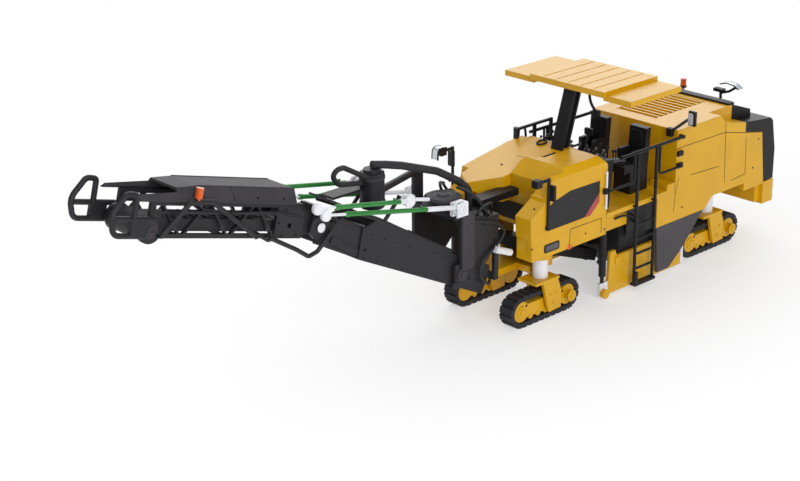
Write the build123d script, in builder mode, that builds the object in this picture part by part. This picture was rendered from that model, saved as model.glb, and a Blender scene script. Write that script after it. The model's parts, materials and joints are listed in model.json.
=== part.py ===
from build123d import *
from math import atan2, cos, degrees, hypot, pi, radians, sin, sqrt
import os

# A die-cast scale model of a cold planer, in millimetres at the model's own size.
# +X points forward, towards the discharge conveyor, +Y to the machine's left, +Z up.
# The origin lies on the ground, midway between the left and right tracks.

# ---------------------------------------------------------------- driving sizes
# Lengths marked "from" are reached from another piece, so that both stay together.
body_half = 20.0
body_bottom = 25.2
side_top = 52.0
deck_top = 54.0
panel_thickness = 1.6
running_gap = 0.3
pin_gap = 0.08

# Crawler tracks and their steered legs.
track_length = 34.8
track_height = 11.6
track_width = 5.6
track_inset = 6.6
front_leg_x = 50.0
rear_leg_x = -42.5
lug_height = 0.5
lug_length = 2.1
lugs_per_flat = 8
lugs_per_end = 6
lug_root = 0.3
belt_thickness = 1.3
roller_radius = 1.15
roller_places = (7.0, 3.2, -0.6, -4.4)
bogie_side_gap = 0.5
bogie_span = (-2.6, 2.2)
yoke_plate = 1.2
yoke_outline = ((-6.2, -2.6), (-0.2, -2.9), (3.0, 8.4), (-4.6, 8.4), (-6.4, 3.4))
yoke_flange_span = (-5.2, 6.6)
yoke_flange_z = 14.2
yoke_flange_thickness = 1.0
pivot_boss_place = (-2.4, 0.2)
pivot_boss_radius = 2.0
hub_radius = 1.7
hub_reach = 1.6
leg_radius = 2.7
leg_top = 31.4
sleeve_wall = 1.3
sleeve_bottom = 22.5

# Chassis.
rail_height = 5.8
floor_thickness = 2.0
rear_floor_top = 28.0
tunnel_half = 10.4
tunnel_rear_x = 5.4
frame_rear_x = -69.0
recess_back_x = 50.0
recess_half = 13.0
liner_thickness = 0.8
liner_top = 39.0
liner_front_x = 56.0
platform_front_x = 23.6
hood_front_x = -14.6
platform_z = 32.8
step_depth = 4.4
step_width = 8.0
step_rise = 2.2
tail_plate = 3.0
tail_drop = 1.0

# Front body: side panels, raised left strip and the sloped nose over the recess.
front_x = 62.5
front_rake = 0.9
pillar_top = 40.5
brow_x = 54.0
brow_z = 44.8
brow_step = 1.2
brow_chamfer = 2.0
chamfer_run = 2.6
corner_clip = 2.4
strip_inner_y = 5.5
strip_front_x = 44.0
notch_inner_y = -1.0
notch_lip = 1.4
nose_plan = (
    (23.6, -16.0),
    (47.0, -17.6),
    (59.0, -16.2),
    (62.9, -9.3),
    (53.2, -1.4),
    (45.3, -0.6),
    (39.9, 5.5),
    (23.6, 5.5),
)
nose_rear_z = 53.3
nose_slope = 0.1625
nose_seat_z = 46.0
nose_skirt_x = 55.0
nose_skirt_z = 39.5
nose_tip_x = 63.0
nose_tip_z = 44.8
nose_wall = 1.6
nose_roof = 2.0

# Milling drum, its chamber and what hangs beside it.
drum_x = -1.0
drum_z = 12.0
drum_radius = 8.2
pick_reach = 2.4
pick_root = 1.0
pick_radius = 0.75
pick_rows = 13
picks_per_row = 5
pick_twist = 0.42
shaft_radius = 2.2
shaft_gap = 0.05
chamber_wall = 1.4
chamber_gap = 0.8
chamber_front = 13.0
chamber_rear = -15.0
chamber_skirt_z = 3.0
inlet_top = 15.0
cover_gap = 0.1

side_plate_thickness = 1.2
side_plate_outline = (
    (20.0, 1.0),
    (19.1, 16.7),
    (16.4, 16.9),
    (15.4, 14.5),
    (-12.0, 14.5),
    (-21.5, 5.5),
    (-21.5, 1.0),
)
cover_thickness = 1.2
cover_outline = ((-4.8, 19.8), (-32.0, 19.8), (-20.3, 7.9), (-12.9, 2.2), (-6.2, 2.2))
skid_front_length = 4.2
skid_front_z = (1.2, 6.0)
skid_rear_length = 1.4
skid_rear_z = (1.4, 8.0)
skid_width = 1.6
skid_wheel_radius = 1.7
skid_wheel_lift = 0.5
skid_wheel_ahead = 2.6
skid_wheel_gap = 0.1
lift_tube_x = 22.6
lift_tube_radius = 1.3
lift_tube_bottom = 8.6
lift_rod_bottom = 6.0
lift_tube_rod_radius = 0.7

belt_feed_half = 8.2
belt_feed_depth = 4.0
belt_feed_start_x = 15.0
belt_feed_end_x = 53.8
belt_feed_start_z = 9.5
belt_feed_slope = 20.5

# Rear hood, cowl and bumper.
hood_top = 54.5
hood_bottom = 19.9
hood_knee_x = -40.0
shoulder_x = -43.2
shoulder_z = 51.2
hood_rear_x = -66.8
cowl_front_x = -56.0
cowl_shoulder_z = 48.4
cowl_rear_z = 46.8
cowl_rear_x = -72.0
cowl_lip_x = -75.7
cowl_lip_height = 12.0
cowl_bottom = 21.8
cowl_side_z = 42.4
cowl_seam_rise = 2.2
cowl_round = 1.4
ridge_half = 14.4
ridge_rear_x = -54.2
ridge_end_x = -66.0
ridge_end_z = 50.4
arch_front_x = -33.0
arch_back_x = -57.0
arch_z = 24.0
arch_lean = 4.4
hood_lip_z = 20.9
apron_front_x = -4.6
skirt_front_x = 10.5
skirt_gap = 0.1
bumper_front_x = -69.6
bumper_rear_x = -76.2
bumper_bottom = 12.5
bumper_top = 21.4
louvre_front_x = -20.0
louvre_rear_x = -50.0
louvre_right_y = -13.5
louvre_left_y = 5.0
louvre_depth = 2.0
grille_plate = 0.5
slat_count = 11
slat_thickness = 0.9
slat_drop = 0.1
hinge_levels = (45.7, 41.2)
hinge_length = 2.8
hinge_height = 1.8
hinge_reach = 1.0

# Operator's platform.
canopy_top = 75.9
canopy_thickness = 2.1
canopy_front_x = 23.4
canopy_rear_x = -5.4
canopy_half = 17.1
wing_left = 11.1
wing_right = 12.9
wing_drop = 1.3
wing_thickness = 2.0
wing_inset = 0.9
wing_lap = 1.0
groove_count = 5
groove_width = 0.5
groove_depth = 0.3
groove_end = 1.0
post_base_x = 27.6
post_top_x = 21.4
post_length_x = 3.6
post_width = 3.4
post_foot_z = 51.6
seat_rear_x = -7.0
seat_y = 9.2
seat_width = 7.6
seat_cushion_length = 13.0
seat_cushion_z = 41.0
seat_cushion_thickness = 2.8
seat_back_top = 55.6
seat_back_thickness = 2.6
seat_back_lean = 1.2
seat_base_length = 9.6
arm_rest_z = 48.4
arm_rest_length = 8.0
arm_rest_width = 1.3
console_front_x = 23.4
console_depth = 7.0
console_foot_depth = 5.0
console_top = 50.0
console_rise = 1.2
console_half = 7.0
console_y = 9.6
ladder_reach = 1.4
rail_radius = 0.6
rung_radius = 0.45
ladder_front_x = 8.8
ladder_rear_x = -1.4
ladder_bottom = 1.8
ladder_top = 51.6
rung_levels = (8.2, 13.8, 19.4, 25.0)
ladder_step_half = 1.2
ladder_step_thickness = 1.0
rail_front_x = 18.2
rail_lap = 1.2
loop_inset = 1.8
loop_low_z = 41.6
loop_bend = 1.5
guard_posts_x = (27.8, 18.6, 9.8)
guard_inset = 0.7
guard_top = 56.4
guard_rail_height = 0.9
mirror_arm_radius = 0.55
mirror_foot_z = 35.2
mirror_clamp = 1.4
mirror_head_half = 1.3
mirror_plate_thickness = 1.1
mirror_plate_width = 2.4
mirror_plate_height = 5.4
left_mirror_top = 53.6
left_mirror_reach = 5.8
left_plate_z = 45.8
right_mirror_back = 4.0
right_mirror_foot = 4.0
right_mirror_top = 56.2
right_mirror_reach = 5.4
right_plate_z = 48.8
hood_clamp_length = 1.8
hood_clamp_width = 2.2
hood_clamp_inset = 1.6
hood_clamp_drop = 2.4
hood_clamp_rise = 0.6
hood_mirror_back = 4.6
hood_mirror_out = 1.8
hood_mirror_up = 4.0
beacon_ahead = 5.4
beacon_inset = 2.0
beacon_neck = 6.0
lamp_back = 8.0
lamp_y = 2.0
lamp_foot_z = 51.0
lamp_height = 3.8
lamp_lean = 0.7
lamp_width = 3.4
lamp_depth = 1.2
lamp_thickness = 1.2

# Discharge conveyor: the turret swings, the inner part lifts and the outer part folds.
slew_ahead = 4.0
slew_pin_radius = 1.5
slew_pin_stand = 0.4
bracket_bottom = 15.8
bracket_arm = 2.4
bracket_half = 4.4
bracket_front = 2.1
bracket_top_z = 42.3
web_rear_x = 40.0
web_outer = 10.0
web_lap = 2.0
top_arm_half = 2.8
top_arm_reach = 1.8
turret_ahead = 1.1
turret_plate = 1.9
turret_inner_half = 9.0
turret_side = 1.3
turret_bottom = 18.4
turret_top = 42.0
slew_lug_half = 2.8
slew_lug_back = 2.2
hose_foot_ahead = 5.1
hose_foot_lap = 1.8
post_half = 2.1
left_post_back = 1.4
right_post_ahead = 1.0
left_post_top = 46.4
right_post_top = 58.0
cheek_low_z = 20.4
cheek_notch = (5.6, 24.6)
cheek_rise = ((10.6, 43.7), (13.6, 45.0))
beam_thickness = 1.9
dish_radius = 6.2
dish_height = 3.0
clevis_outer = 12.5
clevis_back = 3.3
clevis_wall = 1.1
clevis_front = 1.6
clevis_height = 4.6
slew_stub_radius = 1.2
slew_stub_y = 11.7
slew_stub_start = (-3.2, 27.2)
slew_stub_end = (4.4, 30.4)
stub_boss_radius = 0.9
fan_ahead = 29.0
fan_y = -1.0
fan_radius = 4.0
fan_bottom = 53.8
fan_top = 65.1
fan_cap_height = 1.2
fan_cap_radius = 2.8
fan_shelf_length = 12.0
fan_shelf_z = 59.6
fan_shelf_thickness = 0.8
fan_shelf_y = (-7.4, -1.5)
arm_radius = 1.2
hose_radius = 1.3
hose_loop = ((3.5, -0.6, -2.9), (13.5, -0.6, -1.1), (18.0, 0.3, 4.1), (13.0, 1.2, 4.9), (3.4, 1.6, -0.7))
hose_loop_bends = (2.5, 2.2, 2.0)
hose_loop_radius = 0.85
hose_route = ((37.4, 66.6), (30.4, 64.6), (14.6, 58.9), (5.0, 53.2), (0.0, 49.0))
hose_bends = (6.0, 8.0, 12.0, 8.0, 4.0)

lift_ahead = 18.5
lift_z = 25.0
lift_angle = 27.0
lift_pin_radius = 1.4
inner_wall = 1.3
turret_gap = 0.3
inner_bottom = -4.6
inner_top = 5.6
inner_tail = 14.6
tail_clip = 2.0
panel_end_low = 47.4
panel_end_high = 49.6
fork_high = 4.0
fork_step = 0.6
chord_bar = 1.0
flange_start = (6.7, 6.4)
flange_end = (44.6, 9.1)
flange_thickness = 0.9
flange_tube_end = 56.0
flange_tube_radius = 0.6
link_start = (48.4, -2.9)
link_end = (61.0, -0.9)
link_half = 1.15
bed_thickness = 1.0
inner_belt_low = -2.2
inner_belt_high = 0.6
inner_belt_short = 10.0
inner_belt_lead = 0.6
inner_cover_start = 22.0
inner_cover_short = 6.5
inner_cover_thickness = 1.0

fold_s = 67.1
fold_t = 1.7
fold_angle = 15.3
fold_pin_radius = 1.3
fold_plate_radius = 3.9
outer_half = 8.2
chord = 1.3
lower_chord_t = -3.5
upper_chord_t = 7.2
chord_start = 7.0
cheek_end = 17.6
truss_end = 60.6
bay_count = 5
strut = 0.9
mid_rail_t = (3.5, 4.4)
cheek_hole_place = (12.2, 0.4)
cheek_hole_radius = 0.8
hinge_plate = 1.2
tie_height = 0.9
tie_length = 1.2
head_s = 63.0
head_t = -1.1
head_radius = 3.8
head_plate_radius = 4.1
outer_belt_inset = 2.4
run_low = -2.0
run_high = 1.6
belt_taper = 7.0
cover_low_t = 7.2
cover_high_t = 11.4
cover_edge_half = 8.7
cover_ridge_half = 6.2
cover_start = 11.0
cover_knee = 47.8
cover_end = 69.6
cover_end_drop = 2.2
cover_wall = 0.8
cover_cut_s = 54.8
cover_cut_half = 7.0
guard_radius = 0.85
guard_y = 9.9
hoop_rear = 7.4
hoop_route = ((3.0, -2.4), (13.4, -2.4), (15.2, 3.2), (10.8, 9.3), (7.4, 9.1), (7.4, 2.3))
hoop_bends = (2.4, 4.6, 2.0, 0.9)
hoop_bar_t = 2.3
vee_radius = 0.75
vee_route = ((25.6, -2.7), (44.2, 7.6), (51.6, 7.4), (60.4, -2.7))
vee_bends = (2.5, 2.5)
hoop_stay = (66.2, -2.4)
stay_radius = 0.5
knee_radius = 0.7
knee_y = 9.55
knee_route = ((20.5, -2.9), (9.0, -6.6), (3.6, -8.8), (0.4, -7.2), (-5.2, 0.6), (-7.7, 2.6))
knee_bends = (5.0, 1.6, 1.6, 1.8)
beacon_s = 49.3
beacon_foot_radius = 0.6
beacon_radius = 1.15
beacon_foot_t = 7.4
beacon_neck_t = 8.6
beacon_top_t = 11.6

lift_rod_y = 11.1
fold_rod_y = 12.9
eye_radius = 1.8
eye_width = 1.4
eye_gap = 0.45
eye_neck = 0.5
rod_pin_radius = 0.65
rod_pin_stand = 0.2
rod_radius = 0.45
barrel_radius = 0.75
lift_eye_ahead = 2.6
lift_eye_above = 3.0
lift_barrel_start = 14.4
lift_barrel_end = 49.4
lift_rod_start = 39.6
fold_barrel_start = 4.4
fold_barrel_end = 31.4
fold_rod_start = 23.6
bore_spare = 3.5
lift_lug_s = 69.0
lift_lug_t = 5.8
fold_eye_s = 37.9
fold_eye_t = 17.8
mast_foot = (41.6, 7.0)
mast_radius = 0.65
mast_y = 8.0
fold_link_length = 9.8
fold_link_drop = 2.4
fold_link_radius = 0.6
fold_lug_s = 6.5
fold_lug_t = 6.8
fold_lug_half = 0.9

# Sizes that follow from those above.
track_centre_y = body_half - track_inset
rail_top = body_bottom + rail_height
front_floor_top = rail_top + floor_thickness
skin = body_half - panel_thickness
sleeve_radius = leg_radius + pin_gap + sleeve_wall
cover_inner = body_half - cover_thickness
side_outer = cover_inner - cover_gap
side_inner = side_outer - side_plate_thickness
wall_outer = side_inner - running_gap
wall_inner = wall_outer - chamber_wall
drum_half = wall_inner - chamber_gap
ladder_y = body_half + ladder_reach
slew_x = front_x + slew_ahead
turret_back_x = slew_x + turret_ahead
turret_outer = turret_inner_half + turret_side
lift_x = slew_x + lift_ahead
left_post_x = lift_x - left_post_back
right_post_x = lift_x + right_post_ahead
inner_outer_half = turret_inner_half - turret_gap
inner_clear = inner_outer_half - inner_wall
lift_eye_x = lift_x + lift_eye_ahead
lift_eye_z = left_post_top + lift_eye_above
fan_x = lift_x + fan_ahead
hose_foot_x = slew_x + hose_foot_ahead
outer_belt_half = outer_half - outer_belt_inset
upright = Plane.XZ


# ---------------------------------------------------------------- shared shapes
def slab(frame, points, y_low, y_high, mode=Mode.ADD):
    """Extrude a closed outline, drawn in a side-on frame, across the machine."""
    with BuildSketch(frame.offset(-y_low)) as outline:
        with BuildLine():
            Polyline(*points, close=True)
        make_face()
    extrude(outline.sketch, amount=y_high - y_low, dir=(0, 1, 0), mode=mode)


def prism(points, z_low, z_high, mode=Mode.ADD):
    """Extrude a closed outline, drawn from above, upwards."""
    with BuildSketch(Plane.XY.offset(z_low)) as outline:
        with BuildLine():
            Polyline(*points, close=True)
        make_face()
    extrude(outline.sketch, amount=z_high - z_low, mode=mode)


def block(x_span, y_span, z_span, mode=Mode.ADD):
    """Add a box between three pairs of coordinates."""
    centre = tuple((span[0] + span[1]) / 2 for span in (x_span, y_span, z_span))
    sizes = tuple(span[1] - span[0] for span in (x_span, y_span, z_span))
    with Locations(centre):
        Box(*sizes, mode=mode)


def local_block(frame, s_span, y_span, t_span, mode=Mode.ADD):
    """Add a box along a tilted side-on frame."""
    corners = [
        (s_span[0], t_span[0]),
        (s_span[1], t_span[0]),
        (s_span[1], t_span[1]),
        (s_span[0], t_span[1]),
    ]
    slab(frame, corners, y_span[0], y_span[1], mode)


def cross_rod(frame, s, t, radius, y_low, y_high, mode=Mode.ADD):
    """Add a round bar that runs across the machine."""
    with BuildSketch(frame.offset(-y_low)) as section:
        with Locations((s, t)):
            Circle(radius)
    extrude(section.sketch, amount=y_high - y_low, dir=(0, 1, 0), mode=mode)


def bar(start, end, radius, mode=Mode.ADD):
    """Add a round bar between two points."""
    run = Vector(*end) - Vector(*start)
    with BuildSketch(Plane(origin=start, z_dir=run)) as section:
        Circle(radius)
    extrude(section.sketch, amount=run.length, mode=mode)


def pipe(points, radius, bend):
    """Add a tube along straight runs joined by tangent arcs."""
    with BuildLine() as route:
        FilletPolyline(*points, radius=bend)
    start = route.line @ 0
    with BuildSketch(Plane(origin=start, z_dir=route.line % 0)) as section:
        Circle(radius)
    sweep(section.sketch, path=route.line)


def across(side, inner, outer):
    """Return a Y span on one side of the machine, lowest value first."""
    return (min(side * inner, side * outer), max(side * inner, side * outer))


def about(middle, half):
    """Return the span that reaches the same distance to both sides of a middle."""
    return (middle - half, middle + half)


def place(frame, s, t, y):
    """Turn a point of a side-on frame into machine coordinates."""
    point = frame.from_local_coords(Vector(s, t, -y))
    return (point.X, point.Y, point.Z)


def tilted(x, z, angle):
    """Return a side-on frame whose first axis climbs forward at an angle."""
    direction = (cos(radians(angle)), 0, sin(radians(angle)))
    return Plane(origin=(x, 0, z), x_dir=direction, z_dir=(0, -1, 0))


def save(part, name):
    """Label a finished piece and write it."""
    part.label = name
    export_step(part, f"parts/{name}.step")


os.makedirs("parts", exist_ok=True)

inner_frame_plane = tilted(lift_x, lift_z, lift_angle)
fold_x, fold_y, fold_z = place(inner_frame_plane, fold_s, fold_t, 0)
outer_plane = tilted(fold_x, fold_z, fold_angle)

# ---------------------------------------------------------------- track units
corners = (
    # name, leg x, side
    ("front_left", front_leg_x, 1),
    ("front_right", front_leg_x, -1),
    ("rear_left", rear_leg_x, 1),
    ("rear_right", rear_leg_x, -1),
)
end_radius = track_height / 2
belt_radius = end_radius - lug_height
cavity_radius = belt_radius - belt_thickness
end_x = track_length / 2 - end_radius
lug_pitch = 2 * end_x / lugs_per_flat
end_lug_top = sqrt(end_radius**2 - (lug_length / 2) ** 2)
wheel_radius = cavity_radius - running_gap


def track_outline():
    """Sketch a track seen from the side, its shoes standing out of the belt."""
    SlotCenterToCenter(2 * end_x, 2 * belt_radius)
    flat_middle = belt_radius + (lug_height - lug_root) / 2
    for index in range(lugs_per_flat):
        along = -end_x + (index + 0.5) * lug_pitch
        with Locations((along, flat_middle), (along, -flat_middle)):
            Rectangle(lug_length, lug_height + lug_root)
    end_middle = (end_lug_top + belt_radius - lug_root) / 2
    for sign in (1, -1):
        for index in range(lugs_per_end):
            turn = -90 + (index + 0.5) * 180 / lugs_per_end
            with Locations(Location((sign * end_x, 0), turn if sign > 0 else 180 + turn)):
                with Locations((end_middle, 0)):
                    Rectangle(end_lug_top - belt_radius + lug_root, lug_length)
    SlotCenterToCenter(2 * end_x, 2 * cavity_radius, mode=Mode.SUBTRACT)


for corner_name, leg_x, side in corners:
    track_middle = side * track_centre_y
    track_y = about(track_middle, track_width / 2)
    unit_plane = Plane(origin=(leg_x, 0, end_radius), x_dir=(1, 0, 0), z_dir=(0, -1, 0))
    with BuildPart() as track:
        with BuildSketch(unit_plane.offset(-track_y[0])) as loop:
            track_outline()
        extrude(loop.sketch, amount=track_width, dir=(0, 1, 0))
    save(track.part, f"track_{corner_name}")

    web_y = about(track_middle, track_width / 2 - bogie_side_gap)
    plate_inner = track_width / 2 + running_gap
    plate_outer = plate_inner + yoke_plate
    with BuildPart() as track_frame:
        local_block(unit_plane, (-end_x, end_x), web_y, bogie_span)
        cross_rod(unit_plane, end_x, 0, wheel_radius, *web_y)
        cross_rod(unit_plane, -end_x, 0, wheel_radius, *web_y)
        for roller_x in roller_places:
            roller_t = -cavity_radius + running_gap + roller_radius
            cross_rod(unit_plane, roller_x, roller_t, roller_radius, *web_y)
        hub_y = across(side, track_centre_y, track_centre_y + track_width / 2 + hub_reach)
        cross_rod(unit_plane, -end_x, 0, hub_radius, *hub_y)
        boss_y = about(track_middle, plate_outer)
        cross_rod(unit_plane, *pivot_boss_place, pivot_boss_radius, *boss_y)
        for hand in (1, -1):
            plate_y = across(hand, plate_inner, plate_outer)
            slab(unit_plane, yoke_outline, track_middle + plate_y[0], track_middle + plate_y[1])
        flange_x = (leg_x + yoke_flange_span[0], leg_x + yoke_flange_span[1])
        block(flange_x, boss_y, (yoke_flange_z, yoke_flange_z + yoke_flange_thickness))
    save(track_frame.part, f"track_frame_{corner_name}")

leg_foot = yoke_flange_z + yoke_flange_thickness
with BuildPart() as legs:
    for corner_name, leg_x, side in corners:
        leg_y = side * track_centre_y
        bar((leg_x, leg_y, leg_foot), (leg_x, leg_y, leg_top), leg_radius)
save(legs.part, "leg_columns")

# ---------------------------------------------------------------- main frame
with BuildPart() as main_frame:
    block((frame_rear_x, drum_x), (-skin, skin), (body_bottom, rear_floor_top))
    for side in (1, -1):
        rail_y = across(side, tunnel_half, skin)
        block((drum_x, recess_back_x), rail_y, (body_bottom, rail_top))
    block((platform_front_x, recess_back_x), (-skin, skin), (rail_top, front_floor_top))
    tail_z = (bumper_bottom + tail_drop, rear_floor_top)
    block((bumper_front_x, bumper_front_x + tail_plate), (-skin, skin), tail_z)
    block((hood_front_x, platform_front_x), (-skin, skin), (rear_floor_top, rail_top))
    for corner_name, leg_x, side in corners:
        foot = (leg_x, side * track_centre_y, sleeve_bottom)
        head = (leg_x, side * track_centre_y, leg_top + sleeve_wall)
        bar(foot, head, sleeve_radius)
    tunnel_x = (tunnel_rear_x, recess_back_x)
    block(tunnel_x, (-tunnel_half, tunnel_half), (body_bottom, rail_top), Mode.SUBTRACT)
    for corner_name, leg_x, side in corners:
        foot = (leg_x, side * track_centre_y, sleeve_bottom)
        head = (leg_x, side * track_centre_y, leg_top + running_gap)
        bar(foot, head, leg_radius + pin_gap, Mode.SUBTRACT)
save(main_frame.part, "main_frame")

# ---------------------------------------------------------------- front body
front_low_x = front_x - front_rake
tip_top_z = nose_rear_z - nose_slope * (nose_tip_x - platform_front_x)
with BuildPart() as front_body:
    side_points = [
        (platform_front_x, body_bottom),
        (front_low_x, body_bottom),
        (front_x, pillar_top),
        (brow_x + brow_step, brow_z),
        (brow_x, side_top - brow_chamfer),
        (brow_x - brow_chamfer, side_top),
        (platform_front_x, side_top),
    ]
    slab(upright, side_points, -body_half, body_half)
    with BuildSketch(Plane.YZ.offset(platform_front_x)) as crown:
        with BuildLine():
            Polyline(
                (-body_half, side_top),
                (-body_half + chamfer_run, deck_top),
                (body_half - chamfer_run, deck_top),
                (body_half, side_top),
                close=True,
            )
        make_face()
    extrude(crown.sketch, amount=brow_x - brow_chamfer - platform_front_x)
    clip_points = [
        (platform_front_x, side_top - corner_clip / 2),
        (platform_front_x + corner_clip, deck_top),
        (platform_front_x, deck_top),
    ]
    for side in (1, -1):
        slab(upright, clip_points, *across(side, strip_inner_y, body_half), Mode.SUBTRACT)
    notch_points = [
        (strip_front_x, deck_top),
        (brow_x, brow_z + brow_step),
        (front_x, brow_z + brow_step),
        (front_x, deck_top),
    ]
    slab(upright, notch_points, notch_inner_y, body_half - notch_lip, Mode.SUBTRACT)
    hollow_z = (body_bottom, front_floor_top)
    block((platform_front_x, front_x), (-skin, skin), hollow_z, Mode.SUBTRACT)
    recess_y = (-recess_half, recess_half)
    block((recess_back_x, front_x), recess_y, (front_floor_top, deck_top), Mode.SUBTRACT)
    for side in (1, -1):
        pillar_y = across(side, recess_half, body_half)
        pillar_x = front_leg_x + sleeve_radius + running_gap
        block((pillar_x, front_low_x), pillar_y, (body_bottom, pillar_top - brow_step))
    prism(nose_plan, nose_seat_z, deck_top, Mode.SUBTRACT)
    slope_points = [
        (platform_front_x, nose_rear_z),
        (nose_tip_x, tip_top_z),
        (nose_tip_x, deck_top),
        (platform_front_x, deck_top),
    ]
    slab(upright, slope_points, -body_half, notch_inner_y, Mode.SUBTRACT)
save(front_body.part, "front_body")

top_arm_x = (recess_back_x, slew_x + top_arm_reach)
top_arm_y = (-top_arm_half, top_arm_half)
top_arm_z = (bracket_top_z, bracket_top_z + bracket_arm)
with BuildPart() as front_deck:
    nose_section = [
        (platform_front_x, nose_seat_z),
        (recess_back_x, nose_seat_z),
        (recess_back_x, nose_skirt_z),
        (nose_skirt_x, nose_skirt_z),
        (nose_tip_x, nose_tip_z),
        (nose_tip_x, tip_top_z),
        (platform_front_x, nose_rear_z),
    ]
    slab(upright, nose_section, -body_half, body_half)
    prism(nose_plan, nose_skirt_z, deck_top, Mode.INTERSECT)
    hollow_x = (recess_back_x, nose_skirt_x + nose_wall)
    hollow_y = (-recess_half, -top_arm_half - nose_wall)
    hollow_top = tip_top_z - nose_roof
    block(hollow_x, hollow_y, (nose_skirt_z, hollow_top), Mode.SUBTRACT)
    block(top_arm_x, top_arm_y, top_arm_z, Mode.SUBTRACT)
    add(front_body.part, mode=Mode.SUBTRACT)
save(front_deck.part, "front_deck")

with BuildPart() as liner:
    liner_z = (front_floor_top, liner_top)
    block((recess_back_x, recess_back_x + liner_thickness), recess_y, liner_z)
    for side in (1, -1):
        liner_y = across(side, recess_half - liner_thickness, recess_half)
        block((recess_back_x, liner_front_x), liner_y, liner_z)
save(liner.part, "recess_liner")

# ---------------------------------------------------------------- platform
with BuildPart() as platform:
    deck_x = (hood_front_x + running_gap, platform_front_x - running_gap)
    block(deck_x, (-body_half, body_half), (rail_top, platform_z))
    for side in (1, -1):
        step_y = across(side, body_half - step_width, body_half)
        block((deck_x[0], deck_x[0] + step_depth), step_y, (platform_z, platform_z + step_rise))
save(platform.part, "platform")

# ---------------------------------------------------------------- rear hood and cowl
with BuildPart() as rear_hood:
    hood_points = [
        (hood_front_x, hood_bottom),
        (hood_front_x, hood_top),
        (hood_knee_x, hood_top),
        (shoulder_x, shoulder_z),
        (cowl_front_x, cowl_shoulder_z),
        (cowl_front_x, cowl_side_z + cowl_seam_rise),
        (hood_rear_x, cowl_side_z),
        (bumper_front_x, hood_lip_z),
        (arch_back_x, hood_lip_z),
        (arch_back_x, arch_z),
        (arch_front_x - arch_lean, arch_z),
        (arch_front_x, hood_bottom),
    ]
    slab(upright, hood_points, -body_half, body_half)
    ridge_low = cowl_side_z
    ridge_x = (ridge_rear_x, hood_knee_x)
    block(ridge_x, (-ridge_half, ridge_half), (ridge_low, hood_top))
    for side in (1, -1):
        block((hood_front_x, apron_front_x), across(side, skin, body_half), (hood_bottom, rail_top))
    under_x = (bumper_front_x, hood_front_x)
    block(under_x, (-skin, skin), (hood_bottom, rear_floor_top), Mode.SUBTRACT)
    for side in (1, -1):
        foot = (rear_leg_x, side * track_centre_y, rear_floor_top)
        head = (rear_leg_x, side * track_centre_y, leg_top + sleeve_wall + running_gap)
        bar(foot, head, sleeve_radius + running_gap, Mode.SUBTRACT)
    louvre_x = (louvre_rear_x, louvre_front_x)
    louvre_y = (louvre_right_y, louvre_left_y)
    block(louvre_x, louvre_y, (hood_top - louvre_depth, hood_top), Mode.SUBTRACT)
save(rear_hood.part, "rear_hood")

with BuildPart() as louvres:
    grille_x = (louvre_rear_x + running_gap, louvre_front_x - running_gap)
    grille_y = (louvre_right_y + running_gap, louvre_left_y - running_gap)
    grille_z = hood_top - louvre_depth
    block(grille_x, grille_y, (grille_z, grille_z + grille_plate))
    slat_pitch = (grille_x[1] - grille_x[0] - slat_thickness) / (slat_count - 1)
    for index in range(slat_count):
        slat_x = grille_x[0] + index * slat_pitch
        block((slat_x, slat_x + slat_thickness), grille_y, (grille_z, hood_top - slat_drop))
save(louvres.part, "hood_louvres")

with BuildPart() as cowl:
    cowl_points = [
        (cowl_front_x, cowl_shoulder_z),
        (cowl_front_x, cowl_side_z),
        (hood_rear_x, cowl_side_z),
        (bumper_front_x, hood_lip_z),
        (bumper_front_x, cowl_bottom),
        (cowl_lip_x, cowl_bottom),
        (cowl_lip_x, cowl_bottom + cowl_lip_height),
        (cowl_rear_x - cowl_round, cowl_rear_z - cowl_round),
        (cowl_rear_x, cowl_rear_z),
    ]
    slab(upright, cowl_points, -body_half, body_half)
    hump_points = [
        (ridge_rear_x, cowl_side_z),
        (ridge_rear_x, hood_top),
        (ridge_end_x, ridge_end_z),
        (ridge_end_x - cowl_round, cowl_side_z),
    ]
    slab(upright, hump_points, -ridge_half, ridge_half)
    add(rear_hood.part, mode=Mode.SUBTRACT)
    inside_x = (bumper_front_x, hood_front_x)
    block(inside_x, (-skin, skin), (hood_bottom, cowl_side_z), Mode.SUBTRACT)
save(cowl.part, "rear_cowl")

with BuildPart() as bumper:
    bumper_x = (bumper_rear_x, bumper_front_x)
    block(bumper_x, (-body_half, body_half), (bumper_bottom, bumper_top))
save(bumper.part, "rear_bumper")

# ---------------------------------------------------------------- milling drum and chamber
with BuildPart() as chamber:
    for side in (1, -1):
        wall_y = across(side, wall_inner, wall_outer)
        block((chamber_rear, chamber_front), wall_y, (chamber_skirt_z, body_bottom))
    inside_y = (-wall_inner, wall_inner)
    block((chamber_rear, chamber_front), inside_y, (body_bottom - chamber_wall, body_bottom))
    rear_wall = (chamber_rear, chamber_rear + chamber_wall)
    block(rear_wall, inside_y, (chamber_skirt_z, body_bottom))
    front_wall = (chamber_front - chamber_wall, chamber_front)
    block(front_wall, inside_y, (inlet_top, body_bottom))
    shaft_hole = shaft_radius + shaft_gap
    cross_rod(upright, drum_x, drum_z, shaft_hole, -wall_outer, wall_outer, Mode.SUBTRACT)
save(chamber.part, "drum_chamber")

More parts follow.
